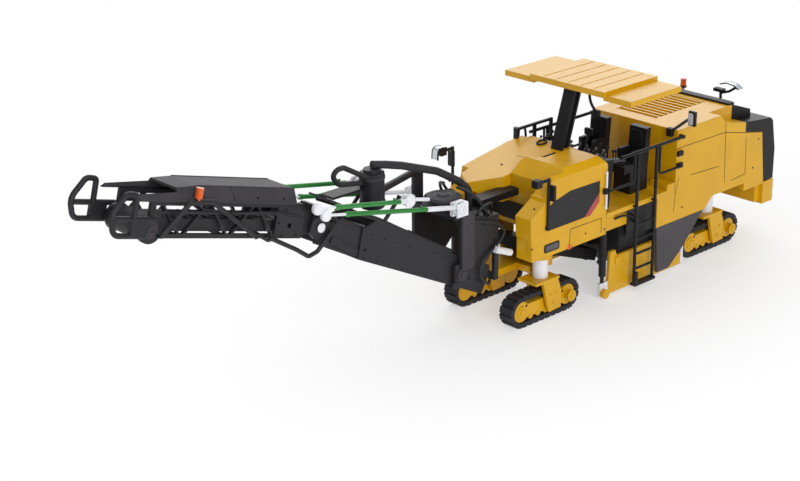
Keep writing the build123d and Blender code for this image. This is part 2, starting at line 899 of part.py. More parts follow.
with BuildPart() as drum:
    cross_rod(upright, drum_x, drum_z, drum_radius, -drum_half, drum_half)
    cross_rod(upright, drum_x, drum_z, shaft_radius, -wall_outer, wall_outer)
    row_end = drum_half - pick_radius - shaft_gap
    row_pitch = 2 * row_end / (pick_rows - 1)
    for row in range(pick_rows):
        row_y = -row_end + row * row_pitch
        for index in range(picks_per_row):
            turn = 2 * pi * index / picks_per_row + row * pick_twist
            root = drum_radius - pick_root
            tip = drum_radius + pick_reach
            start = (drum_x + root * cos(turn), row_y, drum_z + root * sin(turn))
            end = (drum_x + tip * cos(turn), row_y, drum_z + tip * sin(turn))
            bar(start, end, pick_radius)
save(drum.part, "milling_drum")

with BuildPart() as feed:
    feed_plane = tilted(belt_feed_start_x, belt_feed_start_z, belt_feed_slope)
    feed_length = (belt_feed_end_x - belt_feed_start_x) / cos(radians(belt_feed_slope))
    feed_y = (-belt_feed_half, belt_feed_half)
    local_block(feed_plane, (0, feed_length), feed_y, (0, belt_feed_depth))
save(feed.part, "feed_conveyor")

# ---------------------------------------------------------------- side plates and skids
side_plate_front = side_plate_outline[0][0]
side_plate_rear = side_plate_outline[-1][0]
with BuildPart() as side_plates:
    for side in (1, -1):
        slab(upright, side_plate_outline, *across(side, side_inner, side_outer))
save(side_plates.part, "side_plates")

with BuildPart() as skids:
    for side in (1, -1):
        skid_y = across(side, side_inner, side_outer)
        block((side_plate_front, side_plate_front + skid_front_length), skid_y, skid_front_z)
        block((side_plate_rear - skid_rear_length, side_plate_rear), skid_y, skid_rear_z)
save(skids.part, "skid_brackets")

with BuildPart() as skid_wheels:
    wheel_inner = side_outer + skid_wheel_gap
    for side in (1, -1):
        wheel_y = across(side, wheel_inner, wheel_inner + skid_width)
        wheel_x = side_plate_front + skid_wheel_ahead
        wheel_z = skid_wheel_radius + skid_wheel_lift
        cross_rod(upright, wheel_x, wheel_z, skid_wheel_radius, *wheel_y)
save(skid_wheels.part, "skid_wheels")

with BuildPart() as lift_tubes:
    for side in (1, -1):
        tube_y = side * (side_inner + side_outer) / 2
        top = (lift_tube_x, tube_y, body_bottom)
        middle = (lift_tube_x, tube_y, lift_tube_bottom)
        foot = (lift_tube_x, tube_y, lift_rod_bottom)
        bar(middle, top, lift_tube_radius)
        bar(foot, middle, lift_tube_rod_radius)
save(lift_tubes.part, "side_plate_cylinders")

with BuildPart() as covers:
    for side in (1, -1):
        slab(upright, cover_outline, *across(side, cover_inner, body_half))
        skirt_x = (apron_front_x + skirt_gap, skirt_front_x)
        block(skirt_x, across(side, skin, cover_inner), (hood_bottom, rail_top))
save(covers.part, "side_covers")

# ---------------------------------------------------------------- operator's platform
with BuildPart() as seats:
    for side in (1, -1):
        seat_span = about(side * seat_y, seat_width / 2)
        cushion_top = seat_cushion_z + seat_cushion_thickness
        block((seat_rear_x, seat_rear_x + seat_cushion_length), seat_span, (seat_cushion_z, cushion_top))
        block((seat_rear_x, seat_rear_x + seat_base_length), seat_span, (platform_z, seat_cushion_z))
        back = [
            (seat_rear_x, seat_cushion_z),
            (seat_rear_x + seat_back_thickness, seat_cushion_z),
            (seat_rear_x + seat_back_thickness - seat_back_lean, seat_back_top),
            (seat_rear_x - seat_back_lean, seat_back_top),
        ]
        slab(upright, back, *seat_span)
        arm_x = (seat_rear_x, seat_rear_x + arm_rest_length)
        for edge in (seat_span[0], seat_span[1] - arm_rest_width):
            block(arm_x, (edge, edge + arm_rest_width), (seat_cushion_z, arm_rest_z))
    for side in (1, -1):
        step_y = across(side, body_half - step_width, body_half)
        step_x = (hood_front_x, hood_front_x + running_gap + step_depth)
        block(step_x, step_y, (platform_z, platform_z + step_rise), Mode.SUBTRACT)
save(seats.part, "operator_seats")

with BuildPart() as consoles:
    for side in (1, -1):
        console_points = [
            (console_front_x, platform_z),
            (console_front_x, console_top + console_rise),
            (console_front_x - console_depth, console_top),
            (console_front_x - console_foot_depth, platform_z),
        ]
        slab(upright, console_points, *about(side * console_y, console_half))
save(consoles.part, "control_consoles")

with BuildPart() as ladders:
    stay_z = (rail_top + platform_z) / 2
    for side in (1, -1):
        stile_y = side * ladder_y
        for stile_x in (ladder_front_x, ladder_rear_x):
            bar((stile_x, stile_y, ladder_bottom), (stile_x, stile_y, ladder_top), rail_radius)
            bar((stile_x, side * body_half, stay_z), (stile_x, stile_y, stay_z), rung_radius)
        for level in rung_levels:
            bar((ladder_rear_x, stile_y, level), (ladder_front_x, stile_y, level), rung_radius)
        step_x = (ladder_rear_x - rail_radius, ladder_front_x + rail_radius)
        step_z = (ladder_bottom, ladder_bottom + ladder_step_thickness)
        block(step_x, about(stile_y, ladder_step_half), step_z)
save(ladders.part, "ladders")

with BuildPart() as rails:
    rail_z = ladder_top + rail_radius
    for side in (1, -1):
        rail_y = side * ladder_y
        rear_hold_y = across(side, body_half, ladder_y + rail_radius)
        rail_ends = (hood_front_x - hinge_length / 2, rail_front_x)
        bar((rail_ends[0], rail_y, rail_z), (rail_ends[1], rail_y, rail_z), rail_radius)
        end_block = (rail_ends[0] - rail_radius, rail_ends[0] + rail_radius)
        block(end_block, rear_hold_y, about(rail_z, rail_radius))
        front_loop = (
            (ladder_front_x + loop_inset, rail_y, rail_z),
            (ladder_front_x + loop_inset, rail_y, loop_low_z),
            (platform_front_x + rail_lap, rail_y, loop_low_z),
        )
        pipe(front_loop, rung_radius, loop_bend)
        rear_loop = (
            (ladder_rear_x - loop_inset, rail_y, rail_z),
            (ladder_rear_x - loop_inset, rail_y, hinge_levels[1]),
            (hood_front_x - hinge_length / 2, rail_y, hinge_levels[1]),
        )
        pipe(rear_loop, rung_radius, loop_bend)
        holder_x = (platform_front_x, platform_front_x + 2 * rail_lap)
        holder_y = across(side, body_half, ladder_y)
        block(holder_x, holder_y, about(loop_low_z, 2 * rung_radius))
        for level in hinge_levels:
            hinge_x = (hood_front_x - hinge_length, hood_front_x)
            hinge_y = across(side, body_half, body_half + hinge_reach)
            block(hinge_x, hinge_y, about(level, hinge_height / 2))
    guard_y_span = (-body_half + guard_inset, -body_half + guard_inset + guard_rail_height)
    guard_x = (guard_posts_x[-1], guard_posts_x[0])
    block(guard_x, guard_y_span, (guard_top - guard_rail_height, guard_top))
    for post_x in guard_posts_x:
        post_low = side_top if post_x > platform_front_x else platform_z
        post_span = about(post_x, rail_radius)
        block(post_span, guard_y_span, (post_low, guard_top))
    add(consoles.part, mode=Mode.SUBTRACT)
    add(front_body.part, mode=Mode.SUBTRACT)
save(rails.part, "platform_rails")

with BuildPart() as canopy_post:
    roof_low = canopy_top - canopy_thickness
    post_lean = (post_base_x - post_top_x) / (roof_low - deck_top)
    foot_x = post_base_x + post_lean * (deck_top - post_foot_z)
    post_points = [
        (foot_x, post_foot_z),
        (post_top_x, roof_low),
        (post_top_x - post_length_x, roof_low),
        (foot_x - post_length_x, post_foot_z),
    ]
    slab(upright, post_points, -post_width / 2, post_width / 2)
    add(front_deck.part, mode=Mode.SUBTRACT)
save(canopy_post.part, "canopy_post")

with BuildPart() as canopy:
    canopy_x = (canopy_rear_x, canopy_front_x)
    block(canopy_x, (-canopy_half, canopy_half), (roof_low, canopy_top))
    wing_x = (canopy_rear_x + wing_inset, canopy_front_x - wing_inset)
    wing_z = (canopy_top - wing_drop - wing_thickness, canopy_top - wing_drop)
    block(wing_x, (canopy_half - wing_lap, canopy_half + wing_left), wing_z)
    block(wing_x, (-canopy_half - wing_right, -canopy_half + wing_lap), wing_z)
    groove_pitch = 2 * canopy_half / (groove_count + 1)
    groove_x = (canopy_rear_x + groove_end, canopy_front_x - groove_end)
    for index in range(groove_count):
        groove_y = -canopy_half + (index + 1) * groove_pitch
        groove_z = (canopy_top - groove_depth, canopy_top)
        block(groove_x, about(groove_y, groove_width / 2), groove_z, Mode.SUBTRACT)
save(canopy.part, "canopy_roof")

# ---------------------------------------------------------------- mirrors, lamps and beacon
with BuildPart() as mirrors:
    arm_y = body_half + mirror_arm_radius + pin_gap
    left_x = brow_x + mirror_arm_radius
    bar((left_x, arm_y, mirror_foot_z), (left_x, arm_y, left_mirror_top), mirror_arm_radius)
    arm_tip_x = left_x + left_mirror_reach
    tip_z = left_mirror_top - mirror_arm_radius
    bar((left_x, arm_y, tip_z), (arm_tip_x, arm_y, tip_z), mirror_arm_radius)
    block(about(arm_tip_x, mirror_head_half), about(arm_y, mirror_head_half), about(tip_z, mirror_head_half))
    plate_x = (left_x - mirror_plate_thickness, left_x)
    plate_y = (arm_y, arm_y + mirror_plate_width)
    block(plate_x, plate_y, (left_plate_z, left_plate_z + mirror_plate_height))
    block(about(left_x, mirror_clamp / 2), (body_half, arm_y), (mirror_foot_z, mirror_foot_z + mirror_clamp))

    right_x = front_x - right_mirror_back
    right_foot_z = pillar_top - right_mirror_foot
    bar((right_x, -arm_y, right_foot_z), (right_x, -arm_y, right_mirror_top), mirror_arm_radius)
    arm_tip_x = right_x + right_mirror_reach
    tip_z = right_mirror_top - mirror_arm_radius
    bar((right_x, -arm_y, tip_z), (arm_tip_x, -arm_y, tip_z), mirror_arm_radius)
    block(about(arm_tip_x, mirror_head_half), about(-arm_y, mirror_head_half), about(tip_z, mirror_head_half))
    plate_x = (right_x - mirror_plate_thickness, right_x)
    plate_y = (-arm_y - mirror_plate_width, -arm_y)
    block(plate_x, plate_y, (right_plate_z, right_plate_z + mirror_plate_height))
    foot_y = (-arm_y, -body_half)
    block(about(right_x, mirror_clamp / 2), foot_y, (right_foot_z, right_foot_z + mirror_clamp))

    clamp_x = (hood_front_x, hood_front_x + hood_clamp_length)
    clamp_y = (body_half - hood_clamp_inset - hood_clamp_width, body_half - hood_clamp_inset)
    clamp_z = (hood_top - hood_clamp_drop, hood_top + hood_clamp_rise)
    block(clamp_x, clamp_y, clamp_z)
    arm_start = (hood_front_x + mirror_arm_radius, clamp_y[1], clamp_z[1] - mirror_arm_radius)
    hood_plate_x = hood_front_x - hood_mirror_back
    arm_end = (hood_plate_x, body_half + hood_mirror_out, hood_top + hood_mirror_up)
    bar(arm_start, arm_end, mirror_arm_radius)
    plate_x = about(hood_plate_x, mirror_plate_thickness / 2)
    plate_y = (arm_end[1] - mirror_arm_radius, arm_end[1] + mirror_plate_width)
    block(plate_x, plate_y, about(arm_end[2], mirror_plate_height / 2))
save(mirrors.part, "mirrors")

with BuildPart() as beacon_rear:
    beacon_x = cowl_rear_x + beacon_ahead
    beacon_y = -body_half + beacon_inset
    neck_z = cowl_rear_z + beacon_neck
    bar((beacon_x, beacon_y, cowl_rear_z), (beacon_x, beacon_y, neck_z), beacon_foot_radius)
    beacon_head_z = neck_z + beacon_top_t - beacon_neck_t
    bar((beacon_x, beacon_y, neck_z), (beacon_x, beacon_y, beacon_head_z), beacon_radius)
    add(cowl.part, mode=Mode.SUBTRACT)
save(beacon_rear.part, "beacon_rear")

with BuildPart() as rear_lamp:
    lamp_x = cowl_front_x - lamp_back
    lamp_top = lamp_foot_z + lamp_height
    bar((lamp_x, lamp_y, lamp_foot_z), (lamp_x - lamp_lean, lamp_y - lamp_lean, lamp_top), mirror_arm_radius)
    lamp_head_y = (lamp_y - lamp_width, lamp_y + lamp_lean)
    block(about(lamp_x - lamp_lean, lamp_depth), lamp_head_y, (lamp_top, lamp_top + lamp_thickness))
    add(cowl.part, mode=Mode.SUBTRACT)
save(rear_lamp.part, "rear_lamp")

# ---------------------------------------------------------------- slew brackets
arm_top = bracket_bottom + bracket_arm
with BuildPart() as bracket:
    arm_y = (-bracket_half, bracket_half)
    block((recess_back_x, slew_x + bracket_front), arm_y, (bracket_bottom, arm_top))
    block((web_rear_x, recess_back_x + web_lap), (-web_outer, web_outer), (bracket_bottom, arm_top))
    web_x = (web_rear_x, front_leg_x - sleeve_radius - running_gap)
    web_inner = belt_feed_half + running_gap
    for side in (1, -1):
        block(web_x, across(side, web_inner, web_outer), (bracket_bottom, rail_top))
    pin_top = turret_bottom + turret_plate + slew_pin_stand
    bar((slew_x, 0, bracket_bottom), (slew_x, 0, pin_top), slew_pin_radius)
save(bracket.part, "slew_bracket")

with BuildPart() as top_bracket:
    block(top_arm_x, top_arm_y, top_arm_z)
    pin_bottom = turret_top - turret_plate - slew_pin_stand
    bar((slew_x, 0, pin_bottom), (slew_x, 0, top_arm_z[1]), slew_pin_radius)
save(top_bracket.part, "slew_top_bracket")

# ---------------------------------------------------------------- conveyor turret
dish_x = left_post_x
low_z = (turret_bottom, turret_bottom + turret_plate)
high_z = (turret_top - turret_plate, turret_top)
beam_z = (left_post_top - beam_thickness, left_post_top)
left_post = about(left_post_x, post_half)
right_post = about(right_post_x, post_half)
with BuildPart() as turret:
    cheek_points = [
        (turret_back_x, turret_bottom),
        (turret_back_x + turret_plate, turret_bottom),
        (turret_back_x + turret_plate, cheek_notch[1] + cheek_notch[0]),
        (turret_back_x + turret_plate + cheek_notch[0], cheek_notch[1]),
        (left_post[0], cheek_low_z),
        (right_post[1], cheek_low_z),
        (right_post[1], left_post_top),
        (left_post[0], left_post_top),
        (turret_back_x + cheek_rise[1][0], cheek_rise[1][1]),
        (turret_back_x + cheek_rise[0][0], cheek_rise[0][1]),
        (turret_back_x + hose_foot_ahead, turret_top),
        (turret_back_x, turret_top),
    ]
    window_points = [
        (left_post[1], lift_z + fold_plate_radius),
        (right_post[1], lift_z + fold_plate_radius),
        (right_post[1], left_post_top),
        (left_post[1], left_post_top),
    ]
    for side in (1, -1):
        side_y = across(side, turret_inner_half, turret_outer)
        slab(upright, cheek_points, *side_y)
        if side > 0:
            slab(upright, window_points, *side_y, Mode.SUBTRACT)
        else:
            block(right_post, side_y, (cheek_low_z, right_post_top))
    cross_y = (-turret_outer, turret_outer)
    lug_y = (-slew_lug_half, slew_lug_half)
    block((turret_back_x, turret_back_x + turret_plate), cross_y, low_z)
    block((turret_back_x, hose_foot_x + hose_foot_lap), cross_y, high_z)
    for level in (low_z, high_z):
        block((slew_x - slew_lug_back, turret_back_x), lug_y, level)
    block((left_post[0], right_post[1]), (-turret_outer, turret_outer), beam_z)
    bar((dish_x, 0, beam_z[1]), (dish_x, 0, beam_z[1] + dish_height), dish_radius)
    pin_hole = slew_pin_radius + pin_gap
    bar((slew_x, 0, turret_bottom), (slew_x, 0, turret_top), pin_hole, Mode.SUBTRACT)
    lift_hole = lift_pin_radius + pin_gap
    cross_rod(upright, lift_x, lift_z, lift_hole, *cross_y, Mode.SUBTRACT)
save(turret.part, "conveyor_turret")

clevis_x = (lift_eye_x - clevis_back, lift_eye_x + clevis_front)
clevis_z = (left_post_top, left_post_top + clevis_height)
eye_slot = about(lift_rod_y, eye_width / 2 + pin_gap)
with BuildPart() as clevises:
    for side in (1, -1):
        inner_face = turret_inner_half if side > 0 else turret_outer
        block(clevis_x, across(side, inner_face, clevis_outer), clevis_z)
        slot_x = (clevis_x[0] + clevis_wall, clevis_x[1])
        block(slot_x, across(side, *eye_slot), clevis_z, Mode.SUBTRACT)
        cross_rod(upright, lift_eye_x, lift_eye_z, rod_pin_radius, *across(side, *eye_slot))
save(clevises.part, "lift_clevises")

with BuildPart() as slew_cylinders:
    for side in (1, -1):
        stub_y = side * slew_stub_y
        start = (slew_x + slew_stub_start[0], stub_y, slew_stub_start[1])
        end = (slew_x + slew_stub_end[0], stub_y, slew_stub_end[1])
        bar(start, end, slew_stub_radius)
        boss_x = slew_x + slew_stub_end[0] - slew_stub_radius
        boss_z = slew_stub_end[1] - stub_boss_radius
        cross_rod(upright, boss_x, boss_z, stub_boss_radius, *across(side, turret_outer, slew_stub_y))
save(slew_cylinders.part, "slew_cylinders")

with BuildPart() as fan:
    bar((fan_x, fan_y, fan_bottom), (fan_x, fan_y, fan_top), fan_radius)
    bar((fan_x, fan_y, fan_top), (fan_x, fan_y, fan_top + fan_cap_height), fan_cap_radius)
    mast_y_middle = -(turret_inner_half + turret_side / 2)
    arm_start = (right_post[1] - arm_radius, mast_y_middle, right_post_top - arm_radius)
    bar(arm_start, (fan_x - fan_cap_radius, fan_y, right_post_top), arm_radius)
    shelf_x = (fan_x, fan_x + fan_radius + fan_shelf_length)
    block(shelf_x, fan_shelf_y, (fan_shelf_z, fan_shelf_z + fan_shelf_thickness))
    add(turret.part, mode=Mode.SUBTRACT)
save(fan.part, "dust_fan")

with BuildPart() as hose:
    hose_start = (fan_x, fan_y, fan_top + fan_cap_height + hose_radius - pin_gap)
    hose_points = [hose_start]
    for along, height in hose_route:
        hose_points.append((hose_foot_x + along, 0, height))
    hose_points.append((hose_foot_x, 0, turret_top))
    pipe(hose_points, hose_radius, hose_bends)
    loop_points = []
    for along, sideways, height in hose_loop:
        loop_points.append((fan_x + along, fan_y + sideways, fan_top + height))
    pipe(loop_points, hose_loop_radius, hose_loop_bends)
    add(fan.part, mode=Mode.SUBTRACT)
save(hose.part, "suction_hose")

# ---------------------------------------------------------------- inner conveyor section
with BuildPart() as inner:
    panel_points = [
        (-inner_tail, inner_bottom),
        (panel_end_low, inner_bottom),
        (panel_end_high, inner_top),
        (-inner_tail + tail_clip, inner_top),
        (-inner_tail, inner_top - tail_clip),
    ]
    fork_points = [
        (panel_end_low - fold_plate_radius, inner_bottom),
        (fold_s, inner_bottom + chord_bar),
        (fold_s, fork_high),
        (panel_end_low - fold_plate_radius, inner_top),
    ]
    flange_points = [
        (flange_start[0], inner_top - chord_bar),
        (panel_end_high, inner_top - chord_bar),
        flange_end,
        flange_start,
    ]
    for side in (1, -1):
        slab(inner_frame_plane, panel_points, *across(side, inner_clear, inner_outer_half))
        fork_y = across(side, inner_clear, inner_outer_half - fork_step)
        slab(inner_frame_plane, fork_points, *fork_y)
        hinge_y = across(side, inner_clear, inner_outer_half)
        cross_rod(inner_frame_plane, fold_s, fold_t, fold_plate_radius, *hinge_y)
        lug_base = [
            (fold_s - fold_plate_radius, fork_high - chord_bar),
            (lift_lug_s + eye_radius, fold_t),
            (lift_lug_s + eye_radius, lift_lug_t),
            (lift_lug_s, lift_lug_t + rod_pin_radius),
        ]
        slab(inner_frame_plane, lug_base, *fork_y)
        flange_y = across(side, inner_outer_half - flange_thickness, inner_outer_half)
        slab(inner_frame_plane, flange_points, *flange_y)
        tube_y = side * (inner_outer_half - flange_thickness + flange_tube_radius)
        tube_low = place(inner_frame_plane, *flange_start, tube_y)
        tube_knee = place(inner_frame_plane, *flange_end, tube_y)
        tube_top = place(inner_frame_plane, flange_tube_end, flange_end[1], tube_y)
        pipe((tube_low, tube_knee, tube_top), flange_tube_radius, flange_end[1])
        link_points = [
            (link_start[0], link_start[1] - link_half),
            (link_end[0], link_end[1] - link_half),
            (link_end[0], link_end[1] + link_half),
            (link_start[0], link_start[1] + link_half),
        ]
        slab(inner_frame_plane, link_points, *across(side, inner_clear, inner_outer_half))
        pin_y = across(side, inner_clear, turret_outer)
        cross_rod(inner_frame_plane, 0, 0, lift_pin_radius, *pin_y)
        lug_pin_y = across(side, inner_clear, lift_rod_y + eye_width / 2)
        cross_rod(inner_frame_plane, lift_lug_s, lift_lug_t, rod_pin_radius, *lug_pin_y)
        mast_start = place(inner_frame_plane, *mast_foot, side * mast_y)
        mast_end = place(inner_frame_plane, fold_eye_s, fold_eye_t, side * mast_y)
        bar(mast_start, mast_end, mast_radius)
        eye_pin_y = across(side, mast_y - mast_radius, fold_rod_y + eye_width / 2)
        cross_rod(inner_frame_plane, fold_eye_s, fold_eye_t, rod_pin_radius, *eye_pin_y)
        hole = fold_pin_radius + pin_gap
        cross_rod(inner_frame_plane, fold_s, fold_t, hole, *hinge_y, Mode.SUBTRACT)
    bed_y = (-inner_clear, inner_clear)
    bed_s = (-inner_tail, panel_end_low)
    local_block(inner_frame_plane, bed_s, bed_y, (inner_bottom, inner_bottom + bed_thickness))
save(inner.part, "inner_frame")

with BuildPart() as fold_links:
    for side in (1, -1):
        knob_y = across(side, lift_rod_y - eye_width / 2, lift_rod_y + eye_width / 2)
        eye_x, eye_side, eye_z = place(inner_frame_plane, fold_eye_s, fold_eye_t, 0)
        cross_rod(upright, eye_x, eye_z, eye_radius, *knob_y)
        start = (eye_x, side * lift_rod_y, eye_z)
        end = (eye_x - fold_link_length, side * lift_rod_y, eye_z - fold_link_drop)
        bar(start, end, fold_link_radius)
    add(inner.part, mode=Mode.SUBTRACT)
save(fold_links.part, "fold_links")

with BuildPart() as inner_belt:
    belt_y = (-inner_clear + running_gap, inner_clear - running_gap)
    belt_mid = (inner_belt_low + inner_belt_high) / 2
    belt_half = (inner_belt_high - inner_belt_low) / 2
    belt_s = (belt_half + inner_belt_lead - inner_tail, fold_s - inner_belt_short)
    local_block(inner_frame_plane, belt_s, belt_y, (inner_belt_low, inner_belt_high))
    for end_s in belt_s:
        cross_rod(inner_frame_plane, end_s, belt_mid, belt_half, *belt_y)
save(inner_belt.part, "inner_belt")

with BuildPart() as inner_cover:
    cover_s = (inner_cover_start, fold_s - inner_cover_short)
    cover_y = (-inner_clear, inner_clear)
    cover_t = (inner_top - inner_cover_thickness, inner_top)
    local_block(inner_frame_plane, cover_s, cover_y, cover_t)
    add(inner.part, mode=Mode.SUBTRACT)
save(inner_cover.part, "inner_cover")

# ---------------------------------------------------------------- outer conveyor section
hinge_outer = inner_clear - running_gap
hinge_inner = hinge_outer - hinge_plate
low_t = (lower_chord_t, lower_chord_t + chord)
high_t = (upper_chord_t - chord, upper_chord_t)
bay = (truss_end - cheek_end) / bay_count
with BuildPart() as outer:
    for side in (1, -1):
        chord_y = across(side, outer_half - chord, outer_half)
        plate_y = across(side, hinge_inner, hinge_outer)
        join_y = across(side, hinge_inner, outer_half)
        local_block(outer_plane, (chord_start, head_s), chord_y, low_t)
        local_block(outer_plane, (chord_start, head_s), chord_y, high_t)
        local_block(outer_plane, (chord_start, chord_start + chord), join_y, (low_t[0], high_t[1]))
        local_block(outer_plane, (chord_start, cheek_end), chord_y, (low_t[0], high_t[1]))
        cross_rod(outer_plane, *cheek_hole_place, cheek_hole_radius, *chord_y, Mode.SUBTRACT)
        plate_points = [
            (-fold_pin_radius, -fold_pin_radius),
            (chord_start + chord, lower_chord_t),
            (chord_start + chord, upper_chord_t),
            (fold_lug_s - eye_radius, fold_lug_t),
            (-fold_pin_radius, fold_pin_radius),
        ]
        slab(outer_plane, plate_points, *plate_y)
        cross_rod(outer_plane, 0, 0, fold_pin_radius + hinge_plate, *plate_y)
        for index in range(bay_count):
            left_s = cheek_end + index * bay
            rise = index % 2 == 0
            t_from = low_t[0] if rise else high_t[1]
            t_to = high_t[1] if rise else low_t[0]
            half = strut / 2
            diagonal = [
                (left_s + half, t_from),
                (left_s + bay + half, t_to),
                (left_s + bay - half, t_to),
                (left_s - half, t_from),
            ]
            if not rise:
                diagonal = diagonal[::-1]
            slab(outer_plane, diagonal, *across(side, outer_half - chord, outer_half))
        local_block(outer_plane, (cheek_end, head_s), chord_y, mid_rail_t)
        lug_y = across(side, hinge_inner, fold_rod_y - eye_width / 2 - rod_pin_stand)
        lug_s_span = about(fold_lug_s, fold_lug_half)
        local_block(outer_plane, lug_s_span, lug_y, about(fold_lug_t, fold_lug_half))
        pin_y = across(side, outer_half, fold_rod_y + eye_width / 2)
        cross_rod(outer_plane, fold_lug_s, fold_lug_t, rod_pin_radius, *pin_y)
        hinge_pin_y = across(side, hinge_inner, inner_outer_half + rod_pin_stand)
        cross_rod(outer_plane, 0, 0, fold_pin_radius, *hinge_pin_y)
        cross_rod(outer_plane, head_s, head_t, head_plate_radius, *chord_y)
        local_block(outer_plane, (head_s - strut, head_s + strut), chord_y, (head_t, high_t[1]))
    for tie_s in (chord_start, cheek_end + 2 * bay, cheek_end + 4 * bay):
        tie_y = (-outer_half + chord / 2, outer_half - chord / 2)
        tie_t = (lower_chord_t, lower_chord_t + tie_height)
        local_block(outer_plane, (tie_s, tie_s + tie_length), tie_y, tie_t)
    cross_rod(outer_plane, 0, 0, rod_pin_radius, -hinge_outer, hinge_outer)
save(outer.part, "outer_frame")

with BuildPart() as outer_belt:
    belt_points = [
        (chord_start + chord, run_low),
        (head_s - belt_taper, run_low),
        (head_s, head_t - head_radius),
        (head_s, head_t + head_radius),
        (head_s - belt_taper, run_high),
        (chord_start + chord, run_high),
    ]
    slab(outer_plane, belt_points, -outer_belt_half, outer_belt_half)
    cross_rod(outer_plane, head_s, head_t, head_radius, -outer_belt_half, outer_belt_half)
    axle_half = outer_half - chord
    cross_rod(outer_plane, head_s, head_t, fold_pin_radius, -axle_half, axle_half)
save(outer_belt.part, "outer_belt")

cover_sections = (
    # distance along the outer part, ridge height
    (cover_start, cover_high_t),
    (cover_knee, cover_high_t),
    (cover_end, cover_high_t - cover_end_drop),
)


def cover_loft(inset, mode):
    """Loft the gabled cover, or the hollow inside it, along the outer part."""
    faces = []
    for along, ridge_t in cover_sections:
        origin = place(outer_plane, along, 0, 0)
        section_plane = Plane(origin=origin, x_dir=(0, 1, 0), z_dir=outer_plane.x_dir)
        slope = (ridge_t - cover_low_t) / (cover_edge_half - cover_ridge_half)
        side_inset = inset * hypot(1, slope) / slope
        edge_half = cover_edge_half - side_inset
        ridge_half_width = cover_ridge_half - side_inset + inset / slope
        sketch_points = [
            (-edge_half, cover_low_t),
            (-ridge_half_width, ridge_t - inset),
            (ridge_half_width, ridge_t - inset),
            (edge_half, cover_low_t),
        ]
        with BuildSketch(section_plane) as section:
            with BuildLine():
                Polyline(*sketch_points, close=True)
            make_face()
        faces.append(section.sketch)
    loft(faces, ruled=True, mode=mode)


with BuildPart() as cover:
    cover_loft(0.0, Mode.ADD)
    cover_loft(cover_wall, Mode.SUBTRACT)
    cut_y = (-cover_cut_half, cover_cut_half)
    local_block(outer_plane, (cover_cut_s, cover_end), cut_y, (cover_low_t, cover_high_t), Mode.SUBTRACT)
save(cover.part, "outer_cover")

with BuildPart() as guards:
    for side in (1, -1):
        guard_side = side * guard_y
        hoop = [place(outer_plane, head_s + s, t, guard_side) for s, t in hoop_route]
        pipe(hoop, guard_radius, hoop_bends)
        bar_start = place(outer_plane, head_s, hoop_bar_t, guard_side)
        bar_end = place(outer_plane, head_s + hoop_route[2][0] - guard_radius, hoop_bar_t, guard_side)
        bar(bar_start, bar_end, guard_radius)
        box_s = (head_s + hoop_route[0][0], head_s + hoop_rear + guard_radius)
        box_y = about(guard_side, guard_radius)
        local_block(outer_plane, box_s, box_y, (hoop_route[0][1], hoop_bar_t))
        vee = [place(outer_plane, s, t, guard_side) for s, t in vee_route]
        pipe(vee, vee_radius, vee_bends)
        knee = [place(outer_plane, s, t, side * knee_y) for s, t in knee_route]
        pipe(knee, knee_radius, knee_bends)
        stay_y = across(side, outer_half, guard_y)
        for stay_s, stay_t in (vee_route[0], vee_route[-1], hoop_stay):
            cross_rod(outer_plane, stay_s, stay_t, stay_radius, *stay_y)
        knee_stay_y = across(side, outer_half, knee_y)
        cross_rod(outer_plane, *knee_route[0], stay_radius, *knee_stay_y)
    add(outer.part, mode=Mode.SUBTRACT)
    add(cover.part, mode=Mode.SUBTRACT)
save(guards.part, "tip_guards")

with BuildPart() as beacon_tip:
    foot = place(outer_plane, beacon_s, beacon_foot_t, guard_y)
    neck = place(outer_plane, beacon_s, beacon_neck_t, guard_y)
    head = place(outer_plane, beacon_s, beacon_top_t, guard_y)
    bar(foot, neck, beacon_foot_radius)
    bar(neck, head, beacon_radius)
    add(guards.part, mode=Mode.SUBTRACT)
    add(cover.part, mode=Mode.SUBTRACT)
save(beacon_tip.part, "conveyor_beacon")

